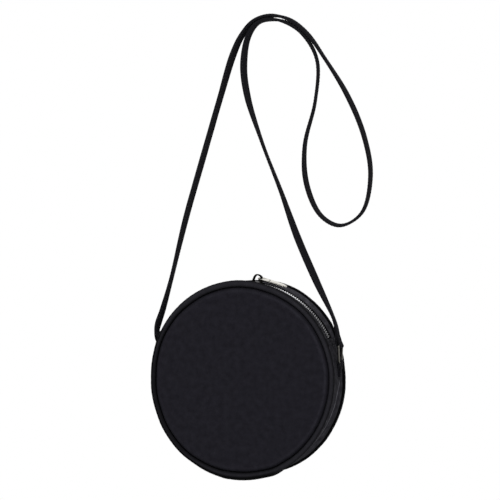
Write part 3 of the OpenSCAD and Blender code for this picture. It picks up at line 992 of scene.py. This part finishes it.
def bandPoint(r, out, angle):
    # tilts towards the zip, and thins to a round fold at the inner edge
    middle = (clothLow + clothHigh) / 2
    half = thinned(bag["cloth"] / 2, max(0.0, 1 - (out - band["inner"]) / 0.6))
    level = middle + half if r > middle else middle - half
    fromEnd = min(angle - band["endAngle"], 180 - band["endAngle"] - angle)
    uneven = band["uneven"] * soft(angle * bag["pace"], out, 9, 6.0)
    lift = band["tilt"] * (out - band["inner"] - 2.5) + uneven
    lift += band["rise"] * bell(out - band["inner"], 1.6)
    return level + lift * smoothStep(0, 4, fromEnd), out


def bandHeight(out, angle):
    # how far from the bag's axis the band's outside lies
    return bandPoint(bag["gusset"], out, angle)[0]


bandAngles = evenly(band["endAngle"], 180 - band["endAngle"], 150)
bandOuts = [band["inner"] + a for a in (0, 0.04, 0.14, 0.3, 0.6)] + evenly(7.2, band["outer"], 13)
bandOutline = [(clothHigh, out) for out in bandOuts]
bandOutline += [(clothLow, out) for out in bandOuts[:0:-1]]
facingOutline = bandSection(liningLow, liningHigh, band["liningInner"], gusset["liningOut"], 1.2)
for side, sign in sides:
    strip = turnedPiece(
        side + "ZipBand", bandOutline, bandAngles, sign, cloths["gusset"], bandPoint, sharp=70,
        tone=bandTone,
    )
    settle(strip, sign, ["zip_band_front"], ["zip_band_rear"])
    facing = turnedPiece(side + "LiningBand", facingOutline, bandAngles, sign, cloths["lining"])
    settle(facing, sign, ["lining_band_front"], ["lining_band_rear"])
print("zip bands set in")

# The zip. Its two rows lie closed from the slider to the right end, and stand aside to its left.
zipper = {
    "teeth": 87,
    "pitch": 2.4,
    "toothThickness": 1.1,
    "toothHeight": 2.8,
    "toothCut": 0.28,
    "root": 2.9,
    "mesh": 0.5,
    "spread": 1.5,
    "ramp": 6.0,
    "tape": (93.2, 93.9),
    "tapeEdge": 12.4,
    "tapeInner": 2.95,
    "bead": 0.12,  # of the cord woven into the tape's edge
    "beadWidth": 1.3,
    "tuck": 3.68,
}


def rowAside(angle):
    # how far a row stands aside of where it lies when it is closed
    run = math.sin(math.radians(bag["sliderAngle"] - angle)) * bag["zipRadius"]
    if angle > bag["sliderAngle"] + 90:
        return zipper["spread"]
    return zipper["spread"] * smoothStep(-zipper["ramp"] / 2, zipper["ramp"] / 2, -run)


def tapePoint(r, out, angle):
    # stands aside with its teeth, and has a bead along its inner edge
    share = (zipper["tapeEdge"] - out) / (zipper["tapeEdge"] - zipper["tapeInner"])
    middle = sum(zipper["tape"]) / 2
    bead = max(0.0, 1 - (out - zipper["tapeInner"]) / zipper["beadWidth"])
    level = r + math.copysign(zipper["bead"] * bead, r - middle)
    return level, out + rowAside(angle) * share


tapeAngles = sorted(
    evenly(bag["zipEnd"] - zipper["tuck"], 180 - bag["zipEnd"] + zipper["tuck"], 120)
    + evenly(bag["sliderAngle"] - 4, bag["sliderAngle"] + 4, 20)
)
tapeOuts = [zipper["tapeInner"] + a for a in (0, 0.35, 0.8, 1.3)]
tapeOuts += evenly(5.2, zipper["tapeEdge"], 8)
low, high = zipper["tape"]
tapeOutline = [(high, out) for out in tapeOuts] + [(low, out) for out in tapeOuts[::-1]]
for side, sign in sides:
    tape = turnedPiece(side + "Tape", tapeOutline, tapeAngles, sign, cloths["tape"], tapePoint)
    settle(tape, sign, ["zip_tape_front"], ["zip_tape_rear"])


def followTree():
    # Sets one small piece again and again along guide lines, whose points say which way is out
    tree = bpy.data.node_groups.new("follow a line", "GeometryNodeTree")
    for name, kind in (
        ("guide", "Geometry"), ("piece", "Object"), ("count", "Int"), ("wobble", "Float"),
        ("seed", "Int"), ("finish", "Material"),
    ):
        tree.interface.new_socket(name, in_out="INPUT", socket_type="NodeSocket" + kind)
    tree.interface.new_socket("pieces", in_out="OUTPUT", socket_type="NodeSocketGeometry")
    add = Finish(tree).node
    given = add("NodeGroupInput")
    line = add("GeometryNodeMeshToCurve", None, {"Mesh": given.output("guide")})
    spaced = add(
        "GeometryNodeResampleCurve", {"mode": "COUNT"},
        {"Curve": line, "Count": given.output("count")},
    )
    outward = add(
        "GeometryNodeInputNamedAttribute", {"data_type": "FLOAT_VECTOR"}, {"Name": "outward"}
    )
    facing = add(
        "FunctionNodeAxesToRotation", {"primary_axis": "X", "secondary_axis": "Z"},
        {"Primary Axis": add("GeometryNodeInputTangent"), "Secondary Axis": outward},
    )
    wobble = given.output("wobble")
    least, most = [
        add("ShaderNodeCombineXYZ", None, {i: limit for i in range(3)})
        for limit in (wobble * -1.0, wobble)
    ]
    chance = add(
        "FunctionNodeRandomValue", {"data_type": "FLOAT_VECTOR"},
        {"Min": least, "Max": most, "Seed": given.output("seed")},
    )
    tilt = add("FunctionNodeEulerToRotation", None, {0: chance})
    turned = add(
        "FunctionNodeRotateRotation", {"rotation_space": "LOCAL"}, {0: facing, 1: tilt}
    )
    source = add("GeometryNodeObjectInfo", None, {"Object": given.output("piece")})
    placed = add(
        "GeometryNodeInstanceOnPoints", None,
        {"Points": spaced, "Instance": source.output("Geometry"), "Rotation": turned},
    )
    real = add("GeometryNodeRealizeInstances", None, {"Geometry": placed})
    painted = add(
        "GeometryNodeSetMaterial", None, {"Geometry": real, "Material": given.output("finish")}
    )
    add("NodeGroupOutput", None, {0: painted})
    return tree


followNodes = followTree()


def meshNow(thing):
    # an object's mesh as its modifiers or its curve make it
    bpy.context.view_layer.update()
    seen = thing.evaluated_get(bpy.context.evaluated_depsgraph_get())
    return bpy.data.meshes.new_from_object(seen)


def alongLines(name, guides, piece, count, finish, wobble=0.0, seed=1):
    # guides is a list of lines, and each line a list of (place, outward)
    mesh = bpy.data.meshes.new(name)
    places = [place for guide in guides for place, outward in guide]
    links, start = [], 0
    for guide in guides:
        links += [(start + i, start + i + 1) for i in range(len(guide) - 1)]
        start += len(guide)
    mesh.from_pydata(places, links, [])
    outward = mesh.attributes.new("outward", "FLOAT_VECTOR", "POINT")
    ways = [number for guide in guides for place, way in guide for number in way]
    outward.data.foreach_set("vector", ways)
    row = inScene(name, mesh)
    modifier = row.modifiers.new("follow", "NODES")
    modifier.node_group = followNodes
    values = {"piece": piece, "count": count, "wobble": wobble, "seed": seed, "finish": finish}
    for item in followNodes.interface.items_tree:
        if item.name in values:
            modifier[item.identifier] = values[item.name]
    result = meshNow(row)
    row.modifiers.clear()
    row.data = result
    result.name = name
    for unused in [a.name for a in result.attributes if a.name == "outward"]:
        result.attributes.remove(result.attributes[unused])
    return row


def toothPiece():
    # one tooth: x along the zip, y from its root in the tape to its tip, z outwards
    half, height = zipper["toothThickness"] / 2, zipper["toothHeight"] / 2
    root, tip, cut = -zipper["root"], zipper["mesh"], zipper["toothCut"]
    levels = [  # place along the tooth, half thickness, half height
        (root, half * 0.8, height * 0.8), (root + 0.25, half, height), (-0.9, half, height),
        (-0.45, half * 0.86, height * 0.9), (tip - 0.25, half * 0.9, height * 0.86),
        (tip, half * 0.6, height * 0.62),
    ]
    rings = []
    for y, wide, tall in levels:
        corner = [(wide, tall - cut), (wide - cut * 0.6, tall)]
        upper = corner + [(-x, z) for x, z in corner[::-1]]
        outline = upper + [(x, -z) for x, z in upper[::-1]]
        rings.append([Vector((x * mm, y * mm, z * mm)) for x, z in outline])
    return loftedPiece("tooth", rings, metals["teeth"], [0.0] * 7, [0.0] * 9, sharp=35)


def toothGuide(sign):
    # The line of the teeth's middles. In front it runs to the right, so that the tips point
    # inwards. The two rows stand half a tooth apart.
    step = math.degrees(2 * math.asin(zipper["pitch"] / 2 / bag["zipRadius"]))
    first = (180 - zipper["teeth"] * step) / 2 + (0.25 if sign == front else 0.75) * step
    count = (zipper["teeth"] - 1) * 4 + 1
    found = []
    for angle in evenly(first, first + (zipper["teeth"] - 1) * step, count):
        outward = onBag(angle, 1, 0) - onBag(angle, 0, 0)
        place = onBag(angle, bag["zipRadius"], sign * rowAside(angle))
        found.append((place, outward.normalized()))
    return found[::-1] if sign == front else found


def teethHighlightAndShadow(mesh):
    # painted highlight on the teeth where they catch the lamp, and painted shadow beside the slider
    # where the pull lies over them
    places = [vertex.co / mm - Vector((bag["x"], 0, bag["z"])) for vertex in mesh.vertices]
    turns = [math.degrees(math.atan2(place.z, place.x)) for place in places]
    for kind, middle, width, share in (("wear_and_highlight", 62, 10, 1), ("seam", 80, 6, 0.95)):
        marked(mesh, kind, [share * bell(turn - middle, width) for turn in turns])


tooth = toothPiece()
for side, sign in sides:
    row = alongLines(side + "Teeth", [toothGuide(sign)], tooth, zipper["teeth"], metals["teeth"])
    teethHighlightAndShadow(row.data)
    settle(row, sign, ["zip_teeth_front"], ["zip_teeth_rear"])
bpy.data.objects.remove(tooth)
print("zip meshed")


def cutShape(name, outlines, low, high, edge, place, finish):
    # A flat shape with holes, cut from sheet metal and rounded at its edges, then put in its place
    curve = bpy.data.curves.new(name, "CURVE")
    curve.dimensions = "2D"
    curve.fill_mode = "BOTH"
    for outline in outlines:
        spline = curve.splines.new("POLY")
        spline.points.add(len(outline) - 1)
        for point, (x, y) in zip(spline.points, outline):
            point.co = (x * mm, y * mm, 0, 1)
        spline.use_cyclic_u = True
    curve.extrude = ((high - low) / 2 - edge) * mm
    curve.bevel_depth = edge * mm
    curve.bevel_resolution = 2
    curve.offset = -edge * mm
    holder = inScene(name, curve)
    mesh = meshNow(holder)
    bpy.data.objects.remove(holder)
    mesh.transform(place @ Matrix.Translation((0, 0, (low + high) / 2 * mm)))
    return madeObject(name, mesh, finish, 40)


def joined(name, pieces):
    # one object from several
    whole = bmesh.new()
    for piece in pieces:
        whole.from_mesh(piece.data)
    mesh = bpy.data.meshes.new(name)
    whole.to_mesh(mesh)
    whole.free()
    mesh.materials.append(pieces[0].data.materials[0])
    for piece in pieces:
        bpy.data.objects.remove(piece)
    return inScene(name, mesh)


def rounded(points, times, fixed=()):
    # cuts the corners of a closed outline, and leaves the fixed ones
    for turn in range(times):
        cut = []
        for i, point in enumerate(points):
            if point in fixed:
                cut.append(point)
                continue
            before, after = Vector(points[i - 1]), Vector(points[(i + 1) % len(points)])
            here = Vector(point)
            cut += [tuple(here.lerp(before, 0.25)), tuple(here.lerp(after, 0.25))]
        points = cut
    return points


# The slider, drawn at the top of the bag and turned to its place: x towards the shut end
slider = {
    "length": 12,
    "width": 11.4,
    "noseWidth": 9.4,
    "top": (95.25, 96.25),
    "bottom": (90.66, 91.66),
    "wall": 1.0,
    "slot": (92.71, 94.2),
    "edge": 0.3,
    "wallEdge": 0.15,
    # how far the walls and the wedge reach into the plates
    "bite": 0.4,
    "wedge": (2.2, 1.4),
    "wedgeEdge": 0.1,
    "crownLength": 10.8,
    "crownHeight": 7.8,
    "crownWidth": 2.4,
    "crownThickness": 1.4,
    "crownEdge": 0.32,
    "stouterLeft": 1.7,
    "crown": [
        (-0.5, 0), (-0.4, 0.55), (-0.28, 0.84), (-0.14, 0.98), (0.04, 1),
        (0.22, 0.95), (0.42, 0.82), (0.5, 0.66), (0.5, 0),
    ],
}


def sliderPlace():
    # from the slider's own drawing to its place on the bag
    turn = Matrix.Rotation(math.radians(90 - bag["sliderAngle"]), 4, "Y")
    return Matrix.Translation((bag["x"] * mm, 0, bag["z"] * mm)) @ turn


def sliderOutline():
    # seen from above: full at its shoulders, drawn in to the nose
    length, wide, nose = slider["length"] / 2, slider["width"] / 2, slider["noseWidth"] / 2
    half = [
        (length, 0), (length, nose - 1.4), (length - 0.5, nose - 0.4), (length - 1.6, nose),
        (1.6, wide - 0.5), (-1.0, wide), (-length + 1.2, wide), (-length + 0.35, wide - 0.45),
        (-length, wide - 1.3),
    ]
    return half + [(x, -y) for x, y in half[:0:-1]]


def sliderWall(sign):
    # a strip along one side of the slider's outline
    outer = [p for p in sliderOutline() if p[1] * sign > 3.2 and p[0] > -5.9]
    inner = [(x, y - sign * slider["wall"]) for x, y in outer]
    return outer + inner[::-1]


def crownOutlines():
    # the crown's side and the window in it. Its left leg is the stouter one.
    length, height = slider["crownLength"], slider["crownHeight"]
    thick = slider["crownThickness"]
    outer = [(x * length, y * height - (0.4 if y == 0 else 0)) for x, y in slider["crown"]]
    inner = []
    for x, y in slider["crown"]:
        leg = thick * (slider["stouterLeft"] if x < 0 else 1)
        drop = 0.2 if y == 0 else thick * (1 if y > 0.6 else 0.55)
        inner.append((x * (length - 2 * leg), y * height - drop))
    return [rounded(outer, 1, (outer[0], outer[-1])), rounded(inner, 1)[::-1]]


def sliderPieces():
    here, metal, outline = sliderPlace(), metals["paintedDarkNickel"], sliderOutline()
    roof, floor = slider["top"][0] + slider["bite"], slider["bottom"][1] - slider["bite"]
    slotLow, slotHigh = slider["slot"]
    long, wide = slider["wedge"]
    left = slider["wall"] / 2 - slider["length"] / 2
    wedge = [
        (left, -wide / 2), (left + long * 0.6, -wide / 2), (left + long, 0),
        (left + long * 0.6, wide / 2), (left, wide / 2),
    ]
    cuts = [
        ("plateTop", outline, *slider["top"], slider["edge"]),
        ("plateBottom", outline, *slider["bottom"], slider["edge"]),
    ]
    for sign in (-1, 1):
        wall = sliderWall(sign)
        cuts.append(("wall", wall, slotHigh, roof, slider["wallEdge"]))
        cuts.append(("wall", wall, floor, slotLow, slider["wallEdge"]))
    cuts.append(("wedge", wedge, floor, roof, slider["wedgeEdge"]))
    made = [cutShape(name, [shape], *rest, here, metal) for name, shape, *rest in cuts]
    upright = Matrix.Rotation(math.radians(90), 4, "X")
    stand = here @ Matrix.Translation((0, 0, slider["top"][1] * mm)) @ upright
    half = slider["crownWidth"] / 2
    made.append(
        cutShape("crown", crownOutlines(), -half, half, slider["crownEdge"], stand, metal)
    )
    return made


sliderPiece = joined("slider", sliderPieces())
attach(sliderPiece, "slider")
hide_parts("zip_slider")

# The pull hangs by its cross bar in the crown's window and lies to the right
pull = {
    "pivot": (2.16, 100.15),
    "slope": 10,
    "lean": 20,
    "length": 30,
    "width": 6,
    "tip": 0.62,
    "taper": 0.22,
    "thickness": 1.6,
    "eye": (9.6, 3.8),
    "edge": 0.35,
    "fieldRise": 0.16,
    "fieldEdge": 0.14,
    # the bar's ends and its rounding: depth, radius
    "bar": ((-3.0, 0.5), (-2.85, 0.75), (-2.6, 0.8), (2.6, 0.8), (2.85, 0.75), (3.0, 0.5)),
}


def pullPieces():
    x, z = pull["pivot"]
    axle = (
        sliderPlace() @ Matrix.Translation((x * mm, 0, z * mm))
        @ Matrix.Rotation(math.radians(pull["slope"]), 4, "Y")
    )
    here, metal = axle @ Matrix.Rotation(math.radians(pull["lean"]), 4, "X"), metals["nickel"]
    half, tip, thick = pull["width"] / 2, pull["width"] * pull["tip"] / 2, pull["thickness"] / 2
    shoulder, tipMiddle = pull["length"] * (1 - pull["taper"]), (pull["length"] - tip, 0)
    outline = (
        [(0.2, -half), (shoulder - 2, -half), (shoulder, -half + 0.1)]
        + arc(tipMiddle, tip, -80, 80, 11)
        + [(shoulder, half - 0.1), (shoulder - 2, half), (0.2, half)]
    )
    long, wide = pull["eye"]
    eye = [(0.8, -wide / 2), (long - 0.8, -wide / 2)] + arc((long - 0.8, 0), wide / 2, -80, 80, 7)
    eye += [(long - 0.8, wide / 2), (0.8, wide / 2)]
    made = [cutShape("body", [outline, eye[::-1]], -thick, thick, pull["edge"], here, metal)]
    # a raised field on both faces of the broad end
    field = (
        [(long + 2.2, -half + 1.1), (shoulder, -half + 1.15)]
        + arc(tipMiddle, tip - 1.0, -75, 75, 9)
        + [(shoulder, half - 1.15), (long + 2.2, half - 1.1)]
    )
    high = thick + pull["fieldRise"]
    made.append(cutShape("field", [field], -high, high, pull["fieldEdge"], here, metal))
    rings = []
    for y, radius in pull["bar"]:
        circle = arc((0, 0), radius, 0, 337.5, 16)
        rings.append([axle @ (Vector((u, y, v)) * mm) for u, v in circle])
    made.append(loftedPiece("bar", rings, metal, [0.0] * 7, [0.0] * 17))
    return made


pullPiece = joined("pull", pullPieces())
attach(pullPiece, "pull")
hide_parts("zip_pull")
print("slider and pull cast")

# The rings' wire, bent to a tapered loop, with a straight bar in the strap and one in the tab
ring = {
    "x": 96.6,
    "z": 34,
    "height": 15.4,
    "wire": 2.2,
    "topHalf": 4.5,
    "footHalf": 2.7,
    "bend": 1.5,
}


def ringLine():
    # (depth, height above the bag's middle) round the ring, from the middle of its top bar
    bend, top, foot = ring["bend"], ring["z"], ring["z"] - ring["height"]
    slope = math.degrees(math.atan2(ring["topHalf"] - ring["footHalf"], ring["height"] - 2 * bend))
    half = (
        [(y, top) for y in evenly(0, ring["topHalf"], 5)]
        + arc((ring["topHalf"], top - bend), bend, 90, -slope, 8)[1:]
    )
    lower = arc((ring["footHalf"], foot + bend), bend, -slope, -90, 7)
    start, end = half[-1], lower[0]
    for s in (0.25, 0.5, 0.75):
        half.append((start[0] + (end[0] - start[0]) * s, start[1] + (end[1] - start[1]) * s))
    half += lower + [(y, foot) for y in (1.8, 0.9)]
    return half + [(0, foot)] + [(-y, z) for y, z in half[:0:-1]]


def ringPiece(name, sign):
    line, rings, flat = ringLine(), [], Vector((1, 0, 0))
    for i, (y, z) in enumerate(line):
        before, after = line[i - 1], line[(i + 1) % len(line)]
        run = Vector((0, after[0] - before[0], after[1] - before[1])).normalized()
        side = flat.cross(run)
        middle = Vector((bag["x"] + sign * ring["x"], y, bag["z"] + z))
        circle = arc((0, 0), ring["wire"] / 2, 0, 342, 20)
        rings.append([(middle + flat * u + side * v) * mm for u, v in circle])
    across = [i * 0.35 * mm for i in range(21)]
    return loftedPiece(name, rings, metals["shaded"], acrossLengths(line), across, True, 80)


def flatLine(points, sign):
    # turns (across, up) places beside the bag's right side into a ribbon's line
    found = []
    for i, (x, z) in enumerate(points):
        before, after = beside(points, i)
        run = Vector((sign * (after[0] - before[0]), 0, after[1] - before[1])).normalized()
        across = Vector((0, 1, 0))
        place = Vector((bag["x"] + sign * x, 0, bag["z"] + z)) * mm
        found.append((place, across, run.cross(across)))
    return found


def stripSection(width, thickness):
    # a cut strip with soft edges
    half, thick, edge = width / 2, thickness / 2, min(0.45, thickness * 0.4)
    return fullSection([
        (half, 0), (half, thick - edge), (half - edge * 0.3, thick - edge * 0.3),
        (half - edge, thick), (half * 0.6, thick), (half * 0.3, thick), (0, thick),
    ])


def ribbonPiece(name, line, sections, finish):
    # a ribbon with one section, or with one for each place on its line
    first = sections[0] if isinstance(sections[0], list) else sections
    return loftedPiece(
        name, ribbonRings(line, sections), finish, runLengths(placesOf(line)),
        acrossLengths(first), sharp=70,
    )


# The tabs: a strip of the gusset's cloth folded round a ring's foot and sewn down
tab = {"width": 5.0, "cloth": 1.15, "bend": 1.8, "stitchRows": (6.0, 7.4, 12.6)}


def tabPoints():
    # (across, up) from below the ring, up its inner side, round its foot and down outside
    foot = (ring["x"], ring["z"] - ring["height"])
    inner = [(95.85, 4.0), (95.72, 6.5), (95.5, 9), (95.22, 12), (94.95, 15)]
    outer = [(98.2, 15), (97.55, 12.4), (97.0, 9.6), (96.95, 6.8), (97.05, 4.2)]
    return inner + arc(foot, tab["bend"], 180, 0, 13) + outer


# The strap's ends: thinned, folded round a ring's top bar towards the bag and sewn to the strap
fold = {
    "width": 8.8,
    "cloth": 1.3,
    "bend": 1.9,
    "length": 10,
    "lean": {"left": -2, "right": 2},
    "shift": {"left": 1.2, "right": -0.6},
    # across, up and thickness of the cloth: down the outer side, and up the side by the bag
    "outer": [
        (0, 44.6, 2.5), (0.25, 43, 2.4), (0.7, 41.5, 2.1), (0.95, 40, 1.9), (1.1, 38.4, 1.8),
        (1.5, 36.4, 1.7),
    ],
    "inner": [
        (-1.9, 36.4, 1.7), (-1.55, 38.4, 1.75), (-1.3, 40.4, 1.8), (-1.2, 42, 1.7),
        (-1.3, 43.2, 1.5), (-1.35, 43.9, 1.1),
    ],
    # height of a row, and thickness of the cloth there
    "stitchRows": ((38.7, 1.8), (42.3, 2.3)),
}


def foldPoints(side):
    # (across, up, thickness) from the strap down round the bar and up again on the bag's side
    bend = [(x, z, fold["cloth"]) for x, z in arc((0, ring["z"]), fold["bend"], 0, -180, 13)]
    lean = fold["lean"][side] / fold["length"]
    placed = []
    for x, z, thickness in fold["outer"] + bend + fold["inner"]:
        x += fold["shift"][side] * smoothStep(ring["z"], ring["z"] + 4, z)
        placed.append((ring["x"] + x - lean * max(0, z - ring["z"]), z, thickness))
    return placed


strapEnds, tabSection = [], stripSection(tab["width"], tab["cloth"])
for side, sign in flanks:
    loop = ringPiece(side + "Ring", sign)
    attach(loop, "ring_" + side)
    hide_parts("d_ring_" + side)
    line = flatLine(tabPoints(), sign)
    holder = ribbonPiece(side + "Tab", line, tabSection, cloths["gusset"])
    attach(holder, "bag")
    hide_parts("ring_tab_" + side)
    points = foldPoints(side)
    line = flatLine([(x, z) for x, z, thickness in points], sign)
    sections = [stripSection(fold["width"], thickness) for x, z, thickness in points]
    end = ribbonPiece(side + "StrapEnd", line, sections, cloths["strap"])
    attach(end, "strap")
    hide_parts("strap_end_" + side)
    strapEnds.append(end)
print("rings hung")


# Stitches: one thread's visible part, set along every sewn line
stitches = {
    "length": 2.1,
    "radius": 0.2,
    "pitch": 2.9,
    "wobble": 0.03,
    "clear": 0.02,
    "bandRow": 8.1,
    # inwards from the ends of the lower gusset
    "hemRows": (1.9, 5.2),
    "hemOut": 16.4,
}


def stitchPiece(length, radius):
    # an arched thread: share of its length, height in radii
    arch = [(0.5, -0.9), (0.44, -0.1), (0.3, 0.5), (0, 0.75)]
    rings = []
    for share, height in arch + [(-share, height) for share, height in arch[-2::-1]]:
        thick = radius * (1 - 0.35 * abs(share) * 2)
        circle = arc((0, 0), thick, 0, 300, 6)
        rings.append([Vector((share * length, u, v + height * radius)) * mm for u, v in circle])
    turns = [i * 0.1 * mm for i in range(8)]
    return loftedPiece("stitch", rings, cloths["thread"], turns, turns[:7])


stitch = stitchPiece(stitches["length"], stitches["radius"])


def stitchCount(guide, pitch):
    # how many stitches fit on a line
    places = [place for place, outward in guide]
    return max(2, round(runLengths(places)[-1] / (pitch * mm)) + 1)


def radial(angle):
    # the direction away from the bag's axis
    turn = math.radians(angle)
    return Vector((math.cos(turn), 0, math.sin(turn)))


def sewn(name, guides, seed, pitch=stitches["pitch"]):
    count = stitchCount(guides[0], pitch)
    return alongLines(name, guides, stitch, count, cloths["thread"], stitches["wobble"], seed)


for side, sign in sides:
    guide, out = [], stitches["bandRow"]
    for angle in evenly(27, 153, 160):
        height = bandHeight(out, angle) + stitches["clear"]
        guide.append((onBag(angle, height, sign * out), radial(angle)))
    row = sewn(side + "BandStitches", [guide], 3 + sign)
    settle(row, sign, [], [])

guides = []
for inset in stitches["hemRows"]:
    for angle, inwards in ((rightEnd, -1), (leftEnd, 1)):
        at, guide = angle + inwards * math.degrees(inset / bag["gusset"]), []
        for out in evenly(-stitches["hemOut"], stitches["hemOut"], 24):
            height = gussetPoint(bag["gusset"], out, at)[0] + stitches["clear"]
            guide.append((onBag(at, height, out), radial(at)))
        guides.append(guide)
hemStitches = sewn("hemStitches", guides, 7, 2.7)
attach(hemStitches, "bag")


def surfaceGuide(points, height, half, sign, thick):
    # a row across a folded strip, on the side away from the bag
    crossed = [
        a[0] + (b[0] - a[0]) * (height - a[1]) / (b[1] - a[1])
        for a, b in zip(points, points[1:]) if min(a[1], b[1]) <= height < max(a[1], b[1])
    ]
    across = max(crossed) + thick / 2 + stitches["clear"]
    place, out = Vector((bag["x"] + sign * across, 0, bag["z"] + height)), Vector((sign, 0, 0))
    return [((place + Vector((0, y, 0))) * mm, out) for y in evenly(-half, half, 5)]


for side, sign in flanks:
    points, thick = tabPoints(), tab["cloth"]
    guides = [surfaceGuide(points, height, 1.7, sign, thick) for height in tab["stitchRows"]]
    row = sewn(side + "TabStitches", guides, 11 + sign, 1.7)
    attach(row, "bag")
    points = [(x, z) for x, z, thickness in foldPoints(side)]
    rows = fold["stitchRows"]
    guides = [surfaceGuide(points, height, 2.9, sign, thick) for height, thick in rows]
    row = sewn(side + "StrapEndStitches", guides, 15 + sign, 2.0)
    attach(row, "strap")
    strapEnds.append(row)

guides = []
for edge in (-1, 1):
    for side in (-1, 1):
        guide = []
        for place, across, through in strapPath[2:-2]:
            sunk = through * side * strap["seamHeight"] * mm
            guide.append((place + across * edge * strap["seam"] * mm + sunk, through * side))
        guides.append(guide)
strapStitches = sewn("strapStitches", guides, 21, strap["stitch"])
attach(strapStitches, "strap")
bpy.data.objects.remove(stitch)

[strapStitches] + strapEnds
print("seams stitched")

# Stage: a pale floor that goes over into a white backdrop, a white world, and soft lamps
stage = {
    "floor": -0.56,
    "size": 12,
    "fade": (0.16, 0.38),
    "fill": 0.62,
    "middle": (bag["x"] * mm, 0, -0.25),
}
white = (1, 1, 1, 1)


def directlySeen(finish):
    # 1 for what the camera sees, itself or in a mirror or through glass
    ray = finish.node("ShaderNodeLightPath")
    mirrored = ray.maths("MAXIMUM", ray.output("Is Glossy Ray"))
    return mirrored.maths("MAXIMUM", ray.output("Is Transmission Ray"))


def floorFinish():
    finish = finishNamed("floor")
    place = finish.here()
    away = finish.node("ShaderNodeVectorMath", {"operation": "LENGTH"}, {0: place}, "Value")
    near, far = stage["fade"]
    share = ((away - near) / (far - near)).held() * directlySeen(finish)
    grain = finish.tinted(finish.clouds(place, 40), paint(244, 244, 244), paint(248, 248, 248))
    matt = finish.node("ShaderNodeBsdfDiffuse", None, {"Color": grain})
    glow = finish.node("ShaderNodeEmission", None, {"Color": white, "Strength": 1.0})
    return finish.surface(finish.node("ShaderNodeMixShader", None, {0: share, 1: matt, 2: glow}))


def square(name, size, finish):
    # a flat square for the stage
    half = size / 2
    corners = [(-half, -half, 0), (half, -half, 0), (half, half, 0), (-half, half, 0)]
    mesh = bpy.data.meshes.new(name)
    mesh.from_pydata(corners, [], [(0, 1, 2, 3)])
    mesh.materials.append(finish)
    return inScene(name, mesh)


def aimed(thing, place):
    # stands a screen or a lamp in its place and turns it to the bag
    thing.location = place
    aim = Vector(stage["middle"]) - Vector(place)
    thing.rotation_euler = aim.to_track_quat("-Z", "Y").to_euler()


floor = square("floor", stage["size"], floorFinish())
floor.location = (bag["x"] * mm, 0, stage["floor"])

world = bpy.data.worlds.new("studio")
bpy.context.scene.world = world
air = Finish(world)
level = directlySeen(air) * (1 - stage["fill"]) + stage["fill"]
backdrop = air.node("ShaderNodeBackground", None, {"Color": white, "Strength": level})
air.node("ShaderNodeOutputWorld", None, {"Surface": backdrop})

# A dark screen behind the camera, seen only in the metal
screen = {"place": (0.1, -2.6, -0.3), "size": 3.6, "level": 0.02}
dark = finishNamed("screen")
glow = dark.node("ShaderNodeEmission", None, {"Color": white, "Strength": screen["level"]})
screenObject = square("screen", screen["size"], dark.surface(glow))
aimed(screenObject, screen["place"])
for ray in ("camera", "diffuse", "transmission", "volume_scatter", "shadow"):
    setattr(screenObject, "visible_" + ray, False)

lamps = {
    "key": {"place": (0.45, -1.3, 0.7), "size": 0.9, "power": 9},
    "fill": {"place": (-1.1, -1.0, 0.1), "size": 1.2, "power": 4},
    "rim": {"place": (0.5, 0.5, 1.1), "size": 0.8, "power": 2},
}
for name, lamp in lamps.items():
    light = bpy.data.lights.new(name, "AREA")
    light.size = lamp["size"]
    light.energy = lamp["power"]
    aimed(inScene(name, light), lamp["place"])

bpy.context.scene.view_settings.view_transform = "Standard"
print("studio lit")
